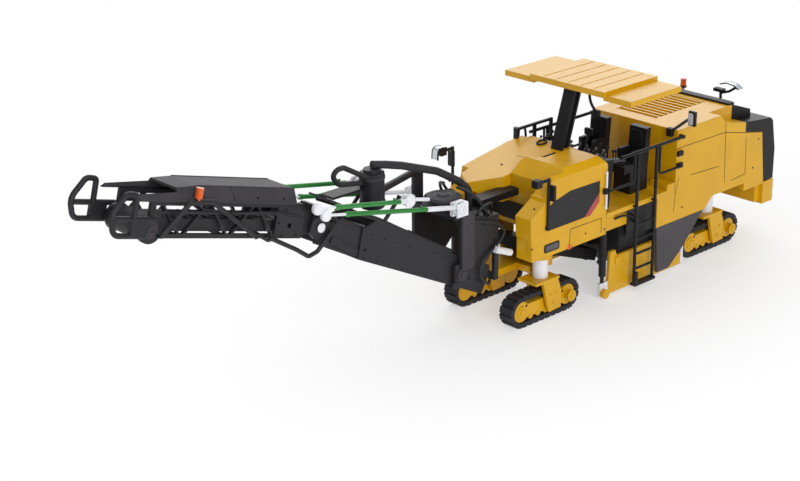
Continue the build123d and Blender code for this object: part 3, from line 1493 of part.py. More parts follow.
# ---------------------------------------------------------------- lift and fold cylinders
lift_lug_x, lift_lug_y, lift_lug_z = place(inner_frame_plane, lift_lug_s, lift_lug_t, 0)
fold_lug_x, fold_lug_y, fold_lug_z = place(outer_plane, fold_lug_s, fold_lug_t, 0)
lift_ends = (lift_eye_x, lift_eye_z, lift_lug_x, lift_lug_z)
fold_ends = (eye_x, eye_z, fold_lug_x, fold_lug_z)
cylinders = (
    # name, pivots, distance from the middle, barrel start, barrel end, rod start
    ("lift", lift_ends, lift_rod_y, lift_barrel_start, lift_barrel_end, lift_rod_start),
    ("fold", fold_ends, fold_rod_y, fold_barrel_start, fold_barrel_end, fold_rod_start),
)
for cylinder_name, ends, plane_y, barrel_start, barrel_end, rod_start in cylinders:
    base_x, base_z, lug_x, lug_z = ends
    span = hypot(lug_x - base_x, lug_z - base_z)
    pitch = degrees(atan2(lug_z - base_z, lug_x - base_x))
    cylinder_plane = tilted(base_x, base_z, pitch)
    bore_end = rod_start - bore_spare
    with BuildPart() as barrels:
        for side in (1, -1):
            y = side * plane_y
            eye_y = about(y, eye_width / 2)
            cross_rod(cylinder_plane, 0, 0, eye_radius, *eye_y)
            neck_start = place(cylinder_plane, eye_radius - eye_neck, 0, y)
            tube_start = place(cylinder_plane, barrel_start, 0, y)
            tube_end = place(cylinder_plane, barrel_end, 0, y)
            bar(neck_start, tube_start, rod_radius + pin_gap)
            bar(tube_start, tube_end, barrel_radius)
            bore_start = place(cylinder_plane, bore_end, 0, y)
            bar(bore_start, tube_end, rod_radius + pin_gap, Mode.SUBTRACT)
            cross_rod(cylinder_plane, 0, 0, rod_pin_radius + pin_gap, *eye_y, Mode.SUBTRACT)
    save(barrels.part, f"{cylinder_name}_barrels")

    with BuildPart() as rods:
        for side in (1, -1):
            y = side * plane_y
            eye_y = about(y, eye_width / 2)
            cross_rod(cylinder_plane, span, 0, eye_radius, *eye_y)
            rod_from = place(cylinder_plane, rod_start, 0, y)
            rod_to = place(cylinder_plane, span - eye_radius + eye_neck, 0, y)
            bar(rod_from, rod_to, rod_radius)
            cross_rod(cylinder_plane, span, 0, rod_pin_radius + eye_gap, *eye_y, Mode.SUBTRACT)
    save(rods.part, f"{cylinder_name}_rods")
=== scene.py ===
# %% [markdown]
# # A die-cast cold planer, dressed for the shelf
# The machine itself is already built as solid parts, at the size of the shop model: about
# thirty centimetres long. This lesson gives it paint, rubber, decals and the small fittings
# that a model maker adds last. We start by loading those solids. Nothing we add may make
# the machine bigger.

# %% Load the machine
import json
import math

import bmesh
import bpy
import numpy as np
from mathutils import Matrix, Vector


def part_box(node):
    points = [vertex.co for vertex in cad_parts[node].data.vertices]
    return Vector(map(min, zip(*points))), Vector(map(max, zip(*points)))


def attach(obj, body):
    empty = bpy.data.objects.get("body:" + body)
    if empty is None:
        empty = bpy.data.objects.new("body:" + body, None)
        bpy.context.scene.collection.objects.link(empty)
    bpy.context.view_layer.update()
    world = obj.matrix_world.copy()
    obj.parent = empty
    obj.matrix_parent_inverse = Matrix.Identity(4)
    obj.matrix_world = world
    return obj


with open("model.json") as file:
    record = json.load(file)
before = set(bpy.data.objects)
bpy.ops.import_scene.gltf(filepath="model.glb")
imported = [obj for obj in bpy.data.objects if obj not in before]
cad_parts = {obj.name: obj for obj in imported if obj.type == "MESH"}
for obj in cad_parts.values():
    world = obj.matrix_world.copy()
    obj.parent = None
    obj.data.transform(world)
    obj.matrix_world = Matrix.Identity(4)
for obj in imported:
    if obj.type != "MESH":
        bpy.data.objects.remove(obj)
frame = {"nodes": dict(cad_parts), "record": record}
nodes = frame["nodes"]
scene = bpy.context.scene
MM = 0.001
SIDES = (1, -1)
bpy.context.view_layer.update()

# %% [markdown]
# The camera looks down on the front left corner through a long lens, as a catalogue picture
# does. A Track To constraint could aim it, but it leaves no room for a small roll, which keeps
# the view from looking stiff. A camera, like a lamp, looks along its own -Z axis, so we build
# three directions and make a matrix of them: away from the subject, to the right, and up.

# %% Camera
CAMERA_AT = np.array([454.4, 376.9, 238.9]) * MM
CAMERA_AIM = np.array([46.72, -60.6, 7.12]) * MM
CAMERA_ROLL = math.radians(-0.76)
SENSOR_MM = 36.0
LENS_MM = 2.1276375 * SENSOR_MM


def facing(eye, aim, roll=0.0):
    """World matrix of a thing at eye that faces aim. Its columns are right, up, back and the
    place: back points from aim to eye, right is world up crossed with back, up is back
    crossed with right, and the first two are then turned about back by the roll angle."""
    eye, aim = np.asarray(eye, float), np.asarray(aim, float)
    back = (eye - aim) / np.linalg.norm(eye - aim)
    right = np.cross([0.0, 0.0, 1.0], back)
    right /= np.linalg.norm(right)
    up = np.cross(back, right)
    c, s = math.cos(roll), math.sin(roll)
    world = np.eye(4)
    world[:3] = np.stack([c * right + s * up, c * up - s * right, back, eye], axis=1)
    return Matrix(world.tolist())


def add_object(name, data):
    """A new object that shows some data, linked into the scene."""
    made = bpy.data.objects.new(name, data)
    scene.collection.objects.link(made)
    return made


camera_data = bpy.data.cameras.new("catalogue_camera")
camera_data.lens = LENS_MM
camera_data.sensor_width = SENSOR_MM
camera_data.clip_start = 0.01
camera_data.clip_end = 20.0
scene.camera = add_object("catalogue_camera", camera_data)
scene.camera.matrix_world = facing(CAMERA_AT, CAMERA_AIM, CAMERA_ROLL)
print("camera lens", round(LENS_MM, 2), "mm")

# %% [markdown]
# Materials are small networks of nodes. Colours are written as the hex values a designer would
# use; Blender works in linear light, so one function converts them. Another adds a node, sets
# its values and joins its inputs, and every material below is made with it.

# %% Colour and node helpers


def linear(code):
    """Turn '#rrggbb' into linear red, green, blue and an alpha of 1, by the sRGB curve."""
    value = np.array([int(code[i : i + 2], 16) for i in (1, 3, 5)]) / 255.0
    value = np.where(value <= 0.04045, value / 12.92, ((value + 0.055) / 1.055) ** 2.4)
    return (*value.tolist(), 1.0)


def add_node(tree, kind, settings=None, inputs=None):
    """Add one node. Settings are its own properties; inputs are socket values, or another
    node's output socket to link."""
    made = tree.nodes.new(kind)
    for name, value in (settings or {}).items():
        setattr(made, name, value)
    for name, value in (inputs or {}).items():
        if isinstance(value, bpy.types.NodeSocket):
            tree.links.new(value, made.inputs[name])
        else:
            made.inputs[name].default_value = value
    return made


def new_material(name):
    """An empty material, its tree to build in, and its output node."""
    material = bpy.data.materials.new(name)
    material.use_nodes = True
    material.node_tree.nodes.clear()
    return material, material.node_tree, add_node(material.node_tree, "ShaderNodeOutputMaterial")


print("a mid grey of #808080 is", round(linear("#808080")[0], 3), "in linear light")

# %% [markdown]
# Paint, plastic and rubber differ in a few numbers only: two close shades, a grain, a roughness
# and a coat. An image texture could hold them, but it needs an unwrapped surface and blurs when
# we come close. Two noises that are measured in millimetres stay sharp on every piece.

# %% Sprayed and moulded surfaces
CLOUD_MM = 9.0
ROUGHNESS_DOWN, ROUGHNESS_UP = 0.05, 0.06
GRAIN_STRENGTH = 0.35
COAT_ROUGHNESS = 0.12


def moulded(name, dark, light, grain, rough, bump, coat=0.0, metal=0.0, edge=0.0, gloss=0.34):
    """A painted or moulded surface; grain, bump and edge are in millimetres. The colour
    wanders between two close shades, a finer noise for orange peel or mould grain moves the
    roughness and the bump, and edge softens the highlight along sharp edges."""
    material, tree, output = new_material(name)
    place = add_node(tree, "ShaderNodeTexCoord").outputs["Object"]
    wide = {"Vector": place, "Scale": 1.0 / (CLOUD_MM * MM), "Detail": 3.0}
    cloud = add_node(tree, "ShaderNodeTexNoise", None, wide)
    shade = add_node(tree, "ShaderNodeValToRGB", None, {"Fac": cloud.outputs["Fac"]})
    for stop, position, code in zip(shade.color_ramp.elements, (0.35, 0.65), (dark, light)):
        stop.position = position
        stop.color = linear(code)
    fine = {"Vector": place, "Scale": 1.0 / (grain * MM), "Detail": 2.0}
    speckle = add_node(tree, "ShaderNodeTexNoise", None, fine).outputs["Fac"]
    spread = {"Value": speckle, "To Min": rough - ROUGHNESS_DOWN, "To Max": rough + ROUGHNESS_UP}
    roughness = add_node(tree, "ShaderNodeMapRange", None, spread)
    relief = {"Height": speckle, "Strength": GRAIN_STRENGTH, "Distance": bump * MM}
    if edge:
        soft = add_node(tree, "ShaderNodeBevel", {"samples": 4}, {"Radius": edge * MM})
        relief["Normal"] = soft.outputs["Normal"]
    surface = {
        "Base Color": shade.outputs["Color"],
        "Roughness": roughness.outputs["Result"],
        "Metallic": metal,
        "Normal": add_node(tree, "ShaderNodeBump", None, relief).outputs["Normal"],
        "Specular IOR Level": gloss,
        "Coat Weight": coat,
        "Coat Roughness": COAT_ROUGHNESS,
    }
    shader = add_node(tree, "ShaderNodeBsdfPrincipled", None, surface)
    tree.links.new(shader.outputs[0], output.inputs["Surface"])
    return material


print("colours drift over", CLOUD_MM, "mm")

# %% [markdown]
# **Yellow enamel.** The castings are zinc, sprayed with a warm road-machine yellow and baked.
# Close up, sprayed paint dries with a slight orange peel about a third of a millimetre across,
# and its edges are rounded by the thickness of the film. A little coat over the colour is the
# shine of the resin.

# %% Yellow enamel
yellow_enamel = moulded(
    "yellow_enamel_on_zinc", "#d19d00", "#d7a304", 0.35, 0.38, 0.01, coat=0.1, edge=0.22
)
print("made", yellow_enamel.name)

# %% [markdown]
# **Black parts.** No two of them are the same black. The belt covers and the turret's fittings
# are enamelled a warm charcoal, the conveyor's frames a deeper black. Rails, seats and steps
# are moulded in black ABS, which comes out of the tool a little duller and with a finer grain;
# the skirts are slate and the engine cowl is grey black. The drum is flat black. The softened
# edges matter most here, because a black shape is read by its highlights.

# %% Charcoal enamel and black plastic
charcoal_enamel = moulded(
    "charcoal_enamel_on_zinc", "#3c393e", "#423f44", 0.35, 0.6, 0.012, edge=0.15, gloss=0.2
)
frame_enamel = moulded("black_enamel_on_zinc", "#201e22", "#262428", 0.35, 0.5, 0.012, edge=0.15)
black_plastic = moulded(
    "moulded_black_abs", "#18171a", "#1d1c1f", 0.18, 0.48, 0.01, edge=0.1, gloss=0.25
)
cover_plastic = moulded("moulded_slate_abs", "#403d41", "#464347", 0.18, 0.5, 0.01, edge=0.1)
cowl_plastic = moulded(
    "moulded_grey_black_abs", "#191818", "#1e1d1d", 0.18, 0.46, 0.01, edge=0.2, gloss=0.2
)
drum_enamel = moulded("flat_black_enamel", "#1e1d20", "#272629", 0.3, 0.55, 0.01)
print("made six blacks")

# %% [markdown]
# **Rubber.** The track loops and the conveyor belt are moulded in soft synthetic rubber. It has
# almost no gloss, and talc from the mould leaves it faintly grey in patches. Hoses are
# extruded, so they are smoother.

# %% Rubber
track_rubber = moulded("moulded_track_rubber", "#232226", "#2e2d31", 0.25, 0.72, 0.02)
belt_rubber = moulded("smooth_belt_rubber", "#29282b", "#323134", 0.4, 0.62, 0.01)
hose_rubber = moulded("extruded_hose_rubber", "#1e1d20", "#28272a", 0.3, 0.5, 0.004)
print("made three rubbers")

# %% [markdown]
# ** Bright plastic and foil.** White, green and amber pieces are polystyrene, glossy from a
# polished tool. The mirrors are faced with bright foil. A full metal would show nothing but the
# white studio in so small a mirror, so the foil's pale colour is a painted reflection, under a
# share of real metal.

# %% Bright plastics and foil
white_styrene = moulded("glossy_white_styrene", "#dcdce2", "#e9e9ee", 0.3, 0.3, 0.006)
green_styrene = moulded("glossy_green_styrene", "#2b7834", "#34843c", 0.3, 0.34, 0.006)
amber_styrene = moulded(
    "clear_coated_amber_styrene", "#cc5212", "#d85e1c", 0.3, 0.3, 0.004, coat=0.3
)
# Painted reflection: the foil's pale colour stands in for what a mirror reflects; 0.3 of it is
# real metal.
mirror_foil_and_painted_reflection = moulded("mirror_foil_with_painted_reflection", "#ced2d8", "#dadde2", 0.5, 0.2, 0.002, metal=0.3)
print("made four bright finishes")

# %% [markdown]
# **Ink and small mouldings.** Printed film has almost no grain. The shade in a panel gap is a
# dark brown of its own, because a groove in yellow paint never looks black. The seats' cloth is
# moulded too, and the dullest of all the finishes.

# %% Ink, name plates and cloth
seam_shadow = moulded("shadow_in_a_panel_seam", "#4a3208", "#583c0c", 0.3, 0.7, 0.004)
# This black is the ink of the side films, and also the painted shade of the sheets over the drum.
black_ink_and_painted_shade = moulded("printed_black_ink_and_painted_shade", "#161519", "#1a191d", 0.2, 0.45, 0.003)
red_ink = moulded("printed_red_ink", "#a23934", "#a8403a", 0.2, 0.4, 0.003, coat=0.3)
plate_grey = moulded("brushed_name_plate", "#48454b", "#555258", 0.2, 0.4, 0.003, coat=0.1)
gauge_grey = moulded("moulded_grey_gauges", "#3a393f", "#5c5b64", 0.3, 0.38, 0.006)
seat_cloth = moulded("moulded_seat_cloth", "#141316", "#19181b", 0.25, 0.75, 0.02, gloss=0.15)
print("materials", len(bpy.data.materials))

# %% [markdown]
# Each solid carries the slot that its maker named for it. We could paint the solids one by one,
# but a table shows at a glance what shares a finish, so we read the slots from the packed
# record. A few castings are darker or lighter than the rest of their slot, and have a finish
# of their own.

# %% Paint the solids
FINISH_OF_SLOT = {
    "yellow_paint": yellow_enamel,
    "dark_plastic": black_plastic,
    "black_paint": charcoal_enamel,
    "track_rubber": track_rubber,
    "belt_rubber": belt_rubber,
    "white_plastic": white_styrene,
    "green_plastic": green_styrene,
    "drum_metal": drum_enamel,
    "amber_plastic": amber_styrene,
    "lamp_plastic": black_plastic,
    "cowl_plastic": cowl_plastic,
}
DARKER = ("conveyor_turret", "inner_frame", "outer_frame", "tip_guards", "dust_fan")
OWN_FINISH = {"side_covers": cover_plastic, **dict.fromkeys(DARKER, frame_enamel)}
slot_of = {entry["node"]: entry["material_slot"] for entry in frame["record"]["subparts"]}
for name, solid in nodes.items():
    solid.data.materials.clear()
    solid.data.materials.append(OWN_FINISH.get(name, FINISH_OF_SLOT[slot_of[name]]))
print("painted", len(nodes), "solids")

# %% [markdown]
# The pieces that we add name a finish too: the material that they show, paired with the name
# of the record's slot of the solids around them. Only the material is put on the piece.

# %% Finishes of the added pieces
YELLOW = (yellow_enamel, "yellow_paint")
CHARCOAL = (charcoal_enamel, "black_paint")
BLACK = (black_plastic, "dark_plastic")
BLACK_BOLT = (black_plastic, "black_paint")
COWL = (cowl_plastic, "cowl_plastic")
WHITE = (white_styrene, "white_plastic")
GREEN = (green_styrene, "green_plastic")
AMBER = (amber_styrene, "amber_plastic")
FOIL_AND_PAINTED_REFLECTION = (mirror_foil_and_painted_reflection, "white_plastic")
HOSE = (hose_rubber, "belt_rubber")
BELT = (belt_rubber, "belt_rubber")
GAUGE = (gauge_grey, "dark_plastic")
SHADOW = (seam_shadow, "yellow_paint")
print("yellow pieces share the slot", YELLOW[1])

# %% [markdown]
# ## Pieces from arrays
# New pieces could be boxes and cylinders pushed together by hand. We work them out as arrays
# instead, because a formula can be read, changed and used again. A grid of points in rows and
# columns becomes a mesh of quads, and a stack of rings that is closed at both ends becomes a
# solid piece. A flat plate is the simplest stack: an outline, and the same outline moved.

# %% Stacks of rings


def grid_faces(rows, columns, closed=False):
    """Quads of a grid numbered row by row. Each row closes on itself, and when the grid is
    closed its last row joins its first."""
    r, c = np.meshgrid(np.arange(rows if closed else rows - 1), np.arange(columns), indexing="ij")
    r2, c2 = (r + 1) % rows, (c + 1) % columns
    quads = np.stack([r * columns + c, r * columns + c2, r2 * columns + c2, r2 * columns + c], -1)
    return quads.reshape(-1, 4).tolist()


def capped(rings):
    """Join a stack of rings by quads, and close the first and the last with one face each."""
    rows, columns = rings.shape[:2]
    faces = grid_faces(rows, columns)
    faces.append(list(range(columns))[::-1])
    faces.append(list(range((rows - 1) * columns, rows * columns)))
    return rings, faces


def plate_set(outline, across, depth):
    """A flat plate: a closed outline of 3-D points, and the same outline moved by depth along
    the direction across, joined by a wall."""
    low = np.asarray(outline, float)
    return capped(np.stack([low, low + np.asarray(across, float) * depth]))


SQUARE = [(0, 0, 0), (1, 0, 0), (1, 1, 0), (0, 1, 0)]
print("a square plate has", len(plate_set(SQUARE, (0, 0, 1), 1)[1]), "faces")

# %% [markdown]
# One function turns such shapes into a piece of the machine: it scales millimetres to metres,
# says which body the piece moves with and names its finish. Points that meet are merged, so
# that poles and seams close, and all faces are turned outwards. Edges are marked sharp by their
# angle, so that flat faces stay flat while round ones are shaded smoothly.

# %% Make a piece
SHARP_ANGLE = math.radians(35)
MERGE_M = 1e-7


def joined(parts):
    """Stack several point-and-face sets into one, moving each set's numbers along."""
    points, faces, count = [], [], 0
    for part_points, part_faces in parts:
        flat = np.asarray(part_points, float).reshape(-1, 3)
        points.append(flat)
        faces += [[index + count for index in face] for face in part_faces]
        count += len(flat)
    return np.concatenate(points), faces


def make(name, parts, finish, body="chassis", smooth=True):
    """Join point-and-face sets, given in millimetres, into one piece that rides on a body and
    takes a slot's finish."""
    material, slot = finish
    points, faces = joined(parts)
    data = bpy.data.meshes.new(name)
    data.from_pydata((points * MM).tolist(), [], faces)
    data.validate()
    data.polygons.foreach_set("use_smooth", np.full(len(data.polygons), smooth))
    data.materials.append(material)
    piece = add_object(name, data)
    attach(piece, body)
    work = bmesh.new()
    work.from_mesh(data)
    bmesh.ops.remove_doubles(work, verts=work.verts, dist=MERGE_M)
    bmesh.ops.recalc_face_normals(work, faces=work.faces)
    work.to_mesh(data)
    work.free()
    if smooth:
        data.set_sharp_from_angle(angle=SHARP_ANGLE)
    print(name, len(data.polygons), "faces")


print("edges over", round(math.degrees(SHARP_ANGLE)), "degrees are sharp")

# %% [markdown]
# ## Dressing the front body
# Decals on a model this size are thin printed film. An image on the panel would serve too, but
# a plate with an outline stays sharp however close we come. We give each one a thickness of
# five hundredths of a millimetre, so that it lies on the panel without flickering. The outline
# is a list of (forward, up) points; the right-hand side is the left one mirrored.

# %% Side decals
FORWARD, SIDEWAYS, UPWARD = 0, 1, 2
SIDE_Y = 20.0
FILM = 0.05
SUNK = 0.01
PANEL_FILM = [(27.6, 46.0), (42.7, 46.2), (50.8, 44.4), (53.4, 43.2), (53.9, 34.5), (35.3, 34.5)]
PANEL_FILM += [(27.6, 41.6)]
STRIPE_FILM = [(27.6, 41.6), (35.3, 34.5), (32.3, 34.4), (27.6, 38.2)]


def in_plane(points, axis, place):
    """Flat points, put into the plane that lies at a place along an axis."""
    return np.insert(np.asarray(points, float), axis, place, axis=1)


def mirrored(points, side):
    """Points of the left side, or their image on the right when side is -1."""
    return np.asarray(points, float) * (1, side, 1)


def side_plates(outline, stand=FILM, y=SIDE_Y):
    """Lay an outline of (forward, up) points on the left and on the right side, sunk in a
    little, and let it stand proud of the surface at y."""
    flat = in_plane(outline, SIDEWAYS, y - SUNK)
    return [plate_set(mirrored(flat, s), (0.0, s, 0.0), stand + SUNK) for s in SIDES]


make("side_panel_films", side_plates(PANEL_FILM), (black_ink_and_painted_shade, "black_paint"), smooth=False)
make("side_stripe_films", side_plates(STRIPE_FILM), (red_ink, "black_paint"), smooth=False)

# %% [markdown]
# Below the film there is a small name plate, left blank, in a dark rounded frame, and an orange
# reflector. A Bevel modifier could round their corners, but it would round every edge of so
# thin a plate; a rectangle whose corners follow quarter circles keeps its rim crisp.

# %% Name plates and reflectors


def rounded_outline(low, high, radius, steps=5):
    """Corners of a rectangle replaced by quarter circles, counter-clockwise."""
    quarter = np.linspace(0.0, np.pi / 2, steps)
    arcs = []
    for k, (right, top) in enumerate(((1, 1), (-1, 1), (-1, -1), (1, -1))):
        x = (high[0] if right > 0 else low[0]) - radius * right
        z = (high[1] if top > 0 else low[1]) - radius * top
        angle = quarter + k * np.pi / 2
        arcs.append(np.stack([x + radius * np.cos(angle), z + radius * np.sin(angle)], axis=1))
    return np.concatenate(arcs)


plate_frame = rounded_outline((48.0, 26.8), (55.6, 29.8), 0.7)
plate_face = rounded_outline((48.6, 27.35), (55.0, 29.25), 0.4)
reflector = rounded_outline((41.7, 24.9), (43.5, 26.5), 0.3)
make("name_plate_frames", side_plates(plate_frame, 0.18), BLACK, smooth=False)
make("name_plate_faces", side_plates(plate_face, 0.24), (plate_grey, "dark_plastic"), smooth=False)
make("side_reflectors", side_plates(reflector, 0.14), AMBER, smooth=False)

# %% [markdown]
# Panel gaps are grooves in the real casting, too fine to cut into every solid. Thin strips in
# the colour of a shadow read the same from any side. Each strip follows a short path, widened
# to both sides.

# %% Panel seams
SEAM_WIDTH, SEAM_STAND = 0.26, 0.03
SEAMS = {
    "front_panel_seams": [
        [(26.2, 31.9), (42.3, 32.1)],
        [(42.3, 32.1), (42.8, 26.3)],
        [(26.2, 31.9), (26.2, 26.6)],
    ],
    "hood_seams": [
        [(-14.4, 47.4), (-19.4, 47.6), (-42.9, 47.4)],
        [(-42.9, 47.4), (-54.0, 44.8)],
        [(-54.0, 44.8), (-66.6, 42.3)],
        [(-43.3, 51.0), (-44.4, 27.4)],
        [(-16.5, 36.2), (-15.0, 31.0)],
        [(-15.0, 31.0), (-14.3, 23.4)],
        [(-23.5, 35.6), (-40.6, 34.8)],
        [(-56.6, 42.4), (-57.3, 28.0)],
        [(-48.4, 27.2), (-57.2, 27.8)],
    ],
}


def ribbon(path, width):
    """Outline of a strip along a flat path: each point is moved half the width to both sides,
    square to the path's own direction there."""
    p = np.asarray(path, float)
    along = np.gradient(p, axis=0)
    along /= np.linalg.norm(along, axis=1, keepdims=True)
    square = np.stack([-along[:, 1], along[:, 0]], axis=1) * width / 2
    return np.concatenate([p + square, (p - square)[::-1]])


for label, paths in SEAMS.items():
    strips = [side_plates(ribbon(path, SEAM_WIDTH), SEAM_STAND) for path in paths]
    make(label, sum(strips, []), SHADOW, smooth=False)

# %% [markdown]
# Small screws hold the panels. A bevelled cylinder would do from afar, but the shallow socket
# in a head's middle is what catches the light. A profile turned about an axis gives both: each
# of its points becomes a ring. Most bolts of the machine are this one, at other sizes.

# %% Panel screws
SCREW = np.array([(-0.2, 0.34), (0.1, 0.34), (0.18, 0.28), (0.2, 0.16), (0.08, 0.14), (0.08, 0.0)])
PANEL_SCREWS = [(61.6, 30.0), (34.4, 28.4), (24.4, 27.4), (60.8, 44.2), (-19.2, 24.2)]
PANEL_SCREWS += [(-62.0, 29.0), (-64.6, 40.0)]


def rings_about(path, along, radius, sides):
    """A ring of points about each point of a path. Each ring lies in the plane of two
    directions: the first is the path's own direction crossed with the fixed axis that it
    follows least, the second is the direction crossed with the first."""
    along = along / np.linalg.norm(along, axis=1, keepdims=True)
    fixed = np.eye(3)[int(np.argmin(np.abs(along).mean(axis=0)))]
    first = np.cross(along, fixed)
    first /= np.linalg.norm(first, axis=1, keepdims=True)
    second = np.cross(along, first)
    turn = np.linspace(0.0, 2 * np.pi, sides, endpoint=False)[:, None]
    ring = np.cos(turn) * first[:, None] + np.sin(turn) * second[:, None]
    radius = np.broadcast_to(np.asarray(radius, float), len(path))[:, None, None]
    return path[:, None] + radius * ring


def turned_set(centre, axis, profile, sides=24):
    """A lathe shape: each (distance along the axis, radius) pair becomes one ring."""
    profile = np.asarray(profile, float)
    axis = np.asarray(axis, float) / np.linalg.norm(axis)
    path = np.asarray(centre, float) + profile[:, :1] * axis
    along = np.tile(axis, (len(profile), 1))
    return capped(rings_about(path, along, profile[:, 1], sides))


def screw(centre, axis, size=1.0):
    """One screw head that stands on a surface and points along an axis."""
    return turned_set(centre, axis, SCREW * size, 12)


heads = [screw((x, s * SIDE_Y, z), (0, s, 0)) for x, z in PANEL_SCREWS for s in SIDES]
make("panel_screws", heads, BLACK)

# %% [markdown]
# Two short white bars stand one above the other on each panel's rear edge, where the hand rail
# leaves a gap between them. A bar is a ring carried along a path. Its feet could be cubes with
# a Bevel modifier; we swell a ball into a box, because the same formula then makes lugs, lamps
# and soft pads by changing one power.

# %% White edge bars
BAR_X, BAR_Y, BAR_FOOT_Y = 24.6, 20.6, 20.2
BARS = ((35.0, 40.5), (42.7, 48.6))
FOOT_FROM_END = 0.6


def tube_set(path, radius, sides=12):
    """A tube closed at both ends: a ring about each point of a path, square to the path's
    direction there, which is taken from the points before and after."""
    path = np.asarray(path, float)
    return capped(rings_about(path, np.gradient(path, axis=0), radius, sides))


def block_set(centre, half, power=0.3, rows=9, columns=24):
    """A rounded block: a sphere's angles u and v, with each sine and cosine raised to a small
    power and its sign kept, so that the ball swells into a box with soft edges."""
    u = np.linspace(-np.pi / 2, np.pi / 2, rows)[:, None]
    v = np.linspace(-np.pi, np.pi, columns, endpoint=False)[None, :]

    def soft(value):
        value = np.where(np.abs(value) < 1e-9, 0.0, value)
        return np.sign(value) * np.abs(value) ** power

    x = half[0] * soft(np.cos(u)) * soft(np.cos(v))
    y = half[1] * soft(np.cos(u)) * soft(np.sin(v))
    z = half[2] * soft(np.sin(u)) * np.ones_like(v)
    return np.stack([x, y, z], -1) + np.asarray(centre, float), grid_faces(rows, columns)


bars = []
for s in SIDES:
    for low, high in BARS:
        bars.append(tube_set([(BAR_X, s * BAR_Y, low), (BAR_X, s * BAR_Y, high)], 0.42))
        for z in (low + FOOT_FROM_END, high - FOOT_FROM_END):
            bars.append(block_set((BAR_X, s * BAR_FOOT_Y, z), (0.3, 0.45, 0.35), 0.3, 7, 12))
make("white_edge_bars", bars, WHITE)

# %% [markdown]
# Above the drum, behind the ladders, the body lies in deep shade. A thin matt black sheet on
# each side is that shade painted on: it keeps the body dark from every angle. Two hoses a side
# hang over it in a lazy curve.
# A bevelled Bezier curve would draw them as well, but its handles are hard to write down. A
# hose bends and never folds, so we list a few points and round the corners between them.

# %% Painted shade sheets and platform hoses
# Outline of the painted shade sheet on each side of the body, above the drum.
SKIRT_SHADE_OUTLINE = [(-4.4, 20.0), (10.4, 20.0), (10.4, 30.9), (-4.4, 30.9)]
SKIRT_SHADE_Y = 18.8


def round_corners(points, radius, steps=6):
    """Replace each inner corner of a path by a parabola that starts and ends one radius away
    along the two runs, or just short of half the shorter run. As t goes from 0 to 1, start,
    corner and end weigh (1 - t) squared, 2t(1 - t) and t squared."""
    p = np.asarray(points, float)
    path = [p[:1]]
    t = np.linspace(0.0, 1.0, steps)[:, None]
    for a, b, c in zip(p[:-2], p[1:-1], p[2:]):
        cut = min(radius, 0.48 * np.linalg.norm(b - a), 0.48 * np.linalg.norm(c - b))
        start = b + (a - b) / np.linalg.norm(a - b) * cut
        end = b + (c - b) / np.linalg.norm(c - b) * cut
        path.append((1 - t) ** 2 * start + 2 * t * (1 - t) * b + t**2 * end)
    path.append(p[-1:])
    return np.concatenate(path)


# Painted shade: matt black sheets on the body's sides where it lies in shade above the drum.
make("skirt_painted_shade_sheets", side_plates(SKIRT_SHADE_OUTLINE, 0.06, SKIRT_SHADE_Y), (black_ink_and_painted_shade, "dark_plastic"), smooth=False)
hoses = []
for s in SIDES:
    for drop in (0.0, 1.5):
        route = [(17.4, 18.6, 30.4 - drop), (14.4, 19.5, 31.0 - drop), (9.6, 19.5, 30.0 - drop)]
        route += [(6.4, 19.4, 26.6 - drop), (5.2, 18.8, 24.0)]
        hoses.append(tube_set(round_corners(mirrored(route, s), 3.0), 0.42, 8))
make("platform_hoses", hoses, HOSE)

# %% [markdown]
# On the right, whoever climbs up holds a bent wire loop with a thick post behind it. The
# ladders stand on small square feet. Both reuse the shapes that we have: a tube whose corners
# are rounded, and a block with a low power, which is nearly a plain box.

# %% Grab loop and ladder feet
GRAB_Y = -21.5
GRAB_LINE = [(24.3, 49.0), (24.0, 55.0), (20.8, 54.8), (19.9, 48.2)]
grab = tube_set(round_corners(in_plane(GRAB_LINE, SIDEWAYS, GRAB_Y), 1.6, 7), 0.45, 10)
post = tube_set([(25.6, GRAB_Y, 47.4), (25.6, GRAB_Y, 55.6)], 0.9)
make("right_grab_loop", [grab, post], BLACK)
feet = [block_set((8.7, s * 21.9, 4.6), (0.85, 0.75, 2.6), 0.2, 9, 20) for s in SIDES]
make("ladder_feet", feet, BLACK)

# %% [markdown]
# The side plates of the drum slide up and down on the real machine, and are lifted by lugs.
# The casting shows one lug at each end of a plate. They are rounded blocks too, because paint
# fills the corners of so small a casting.

# %% Side plate lugs
lugs = [(x, s * 18.8, 12.6) for s in SIDES for x in (15.4, -17.2)]
lugs = [block_set(centre, (1.0, 0.5, 1.5), 0.3, 9, 20) for centre in lugs]
make("side_plate_lugs", lugs, YELLOW)

# %% [markdown]
# ## Dressing the nose
# The nose is one sloping plate with a seam, a wiper, a screw and the ring of a filler cap. We
# could lay them flat and turn them onto the slope, or project them with a Shrinkwrap modifier.
# The plate is flat, so one formula is enough: the height falls steadily towards the front.

# %% Nose fittings
NOSE_HIGH, NOSE_FROM, NOSE_FALL = 53.3, 23.6, 0.1625


def on_nose(flat, lift=0.0):
    """(forward, sideways) places with the nose's height there as a third value: its height at
    NOSE_FROM, less the fall times the way forward from there, plus lift."""
    flat = np.asarray(flat, float)
    height = NOSE_HIGH - NOSE_FALL * (flat[..., :1] - NOSE_FROM) + lift
    return np.concatenate([flat, height], axis=-1)


def nose_strip(path, width, stand):
    """A flat strip that lies on the nose along a path of (forward, sideways) points."""
    return [plate_set(on_nose(ribbon(path, width), -SUNK), (0.0, 0.0, 1.0), stand)]


def hoop_set(path, radius, sides=10):
    """A tube that closes on itself: the last ring joins the first, so it needs no end faces.
    Its direction at a point runs from the point before to the point after."""
    path = np.asarray(path, float)
    around = np.roll(path, -1, axis=0) - np.roll(path, 1, axis=0)
    return rings_about(path, around, radius, sides), grid_faces(len(path), sides, closed=True)


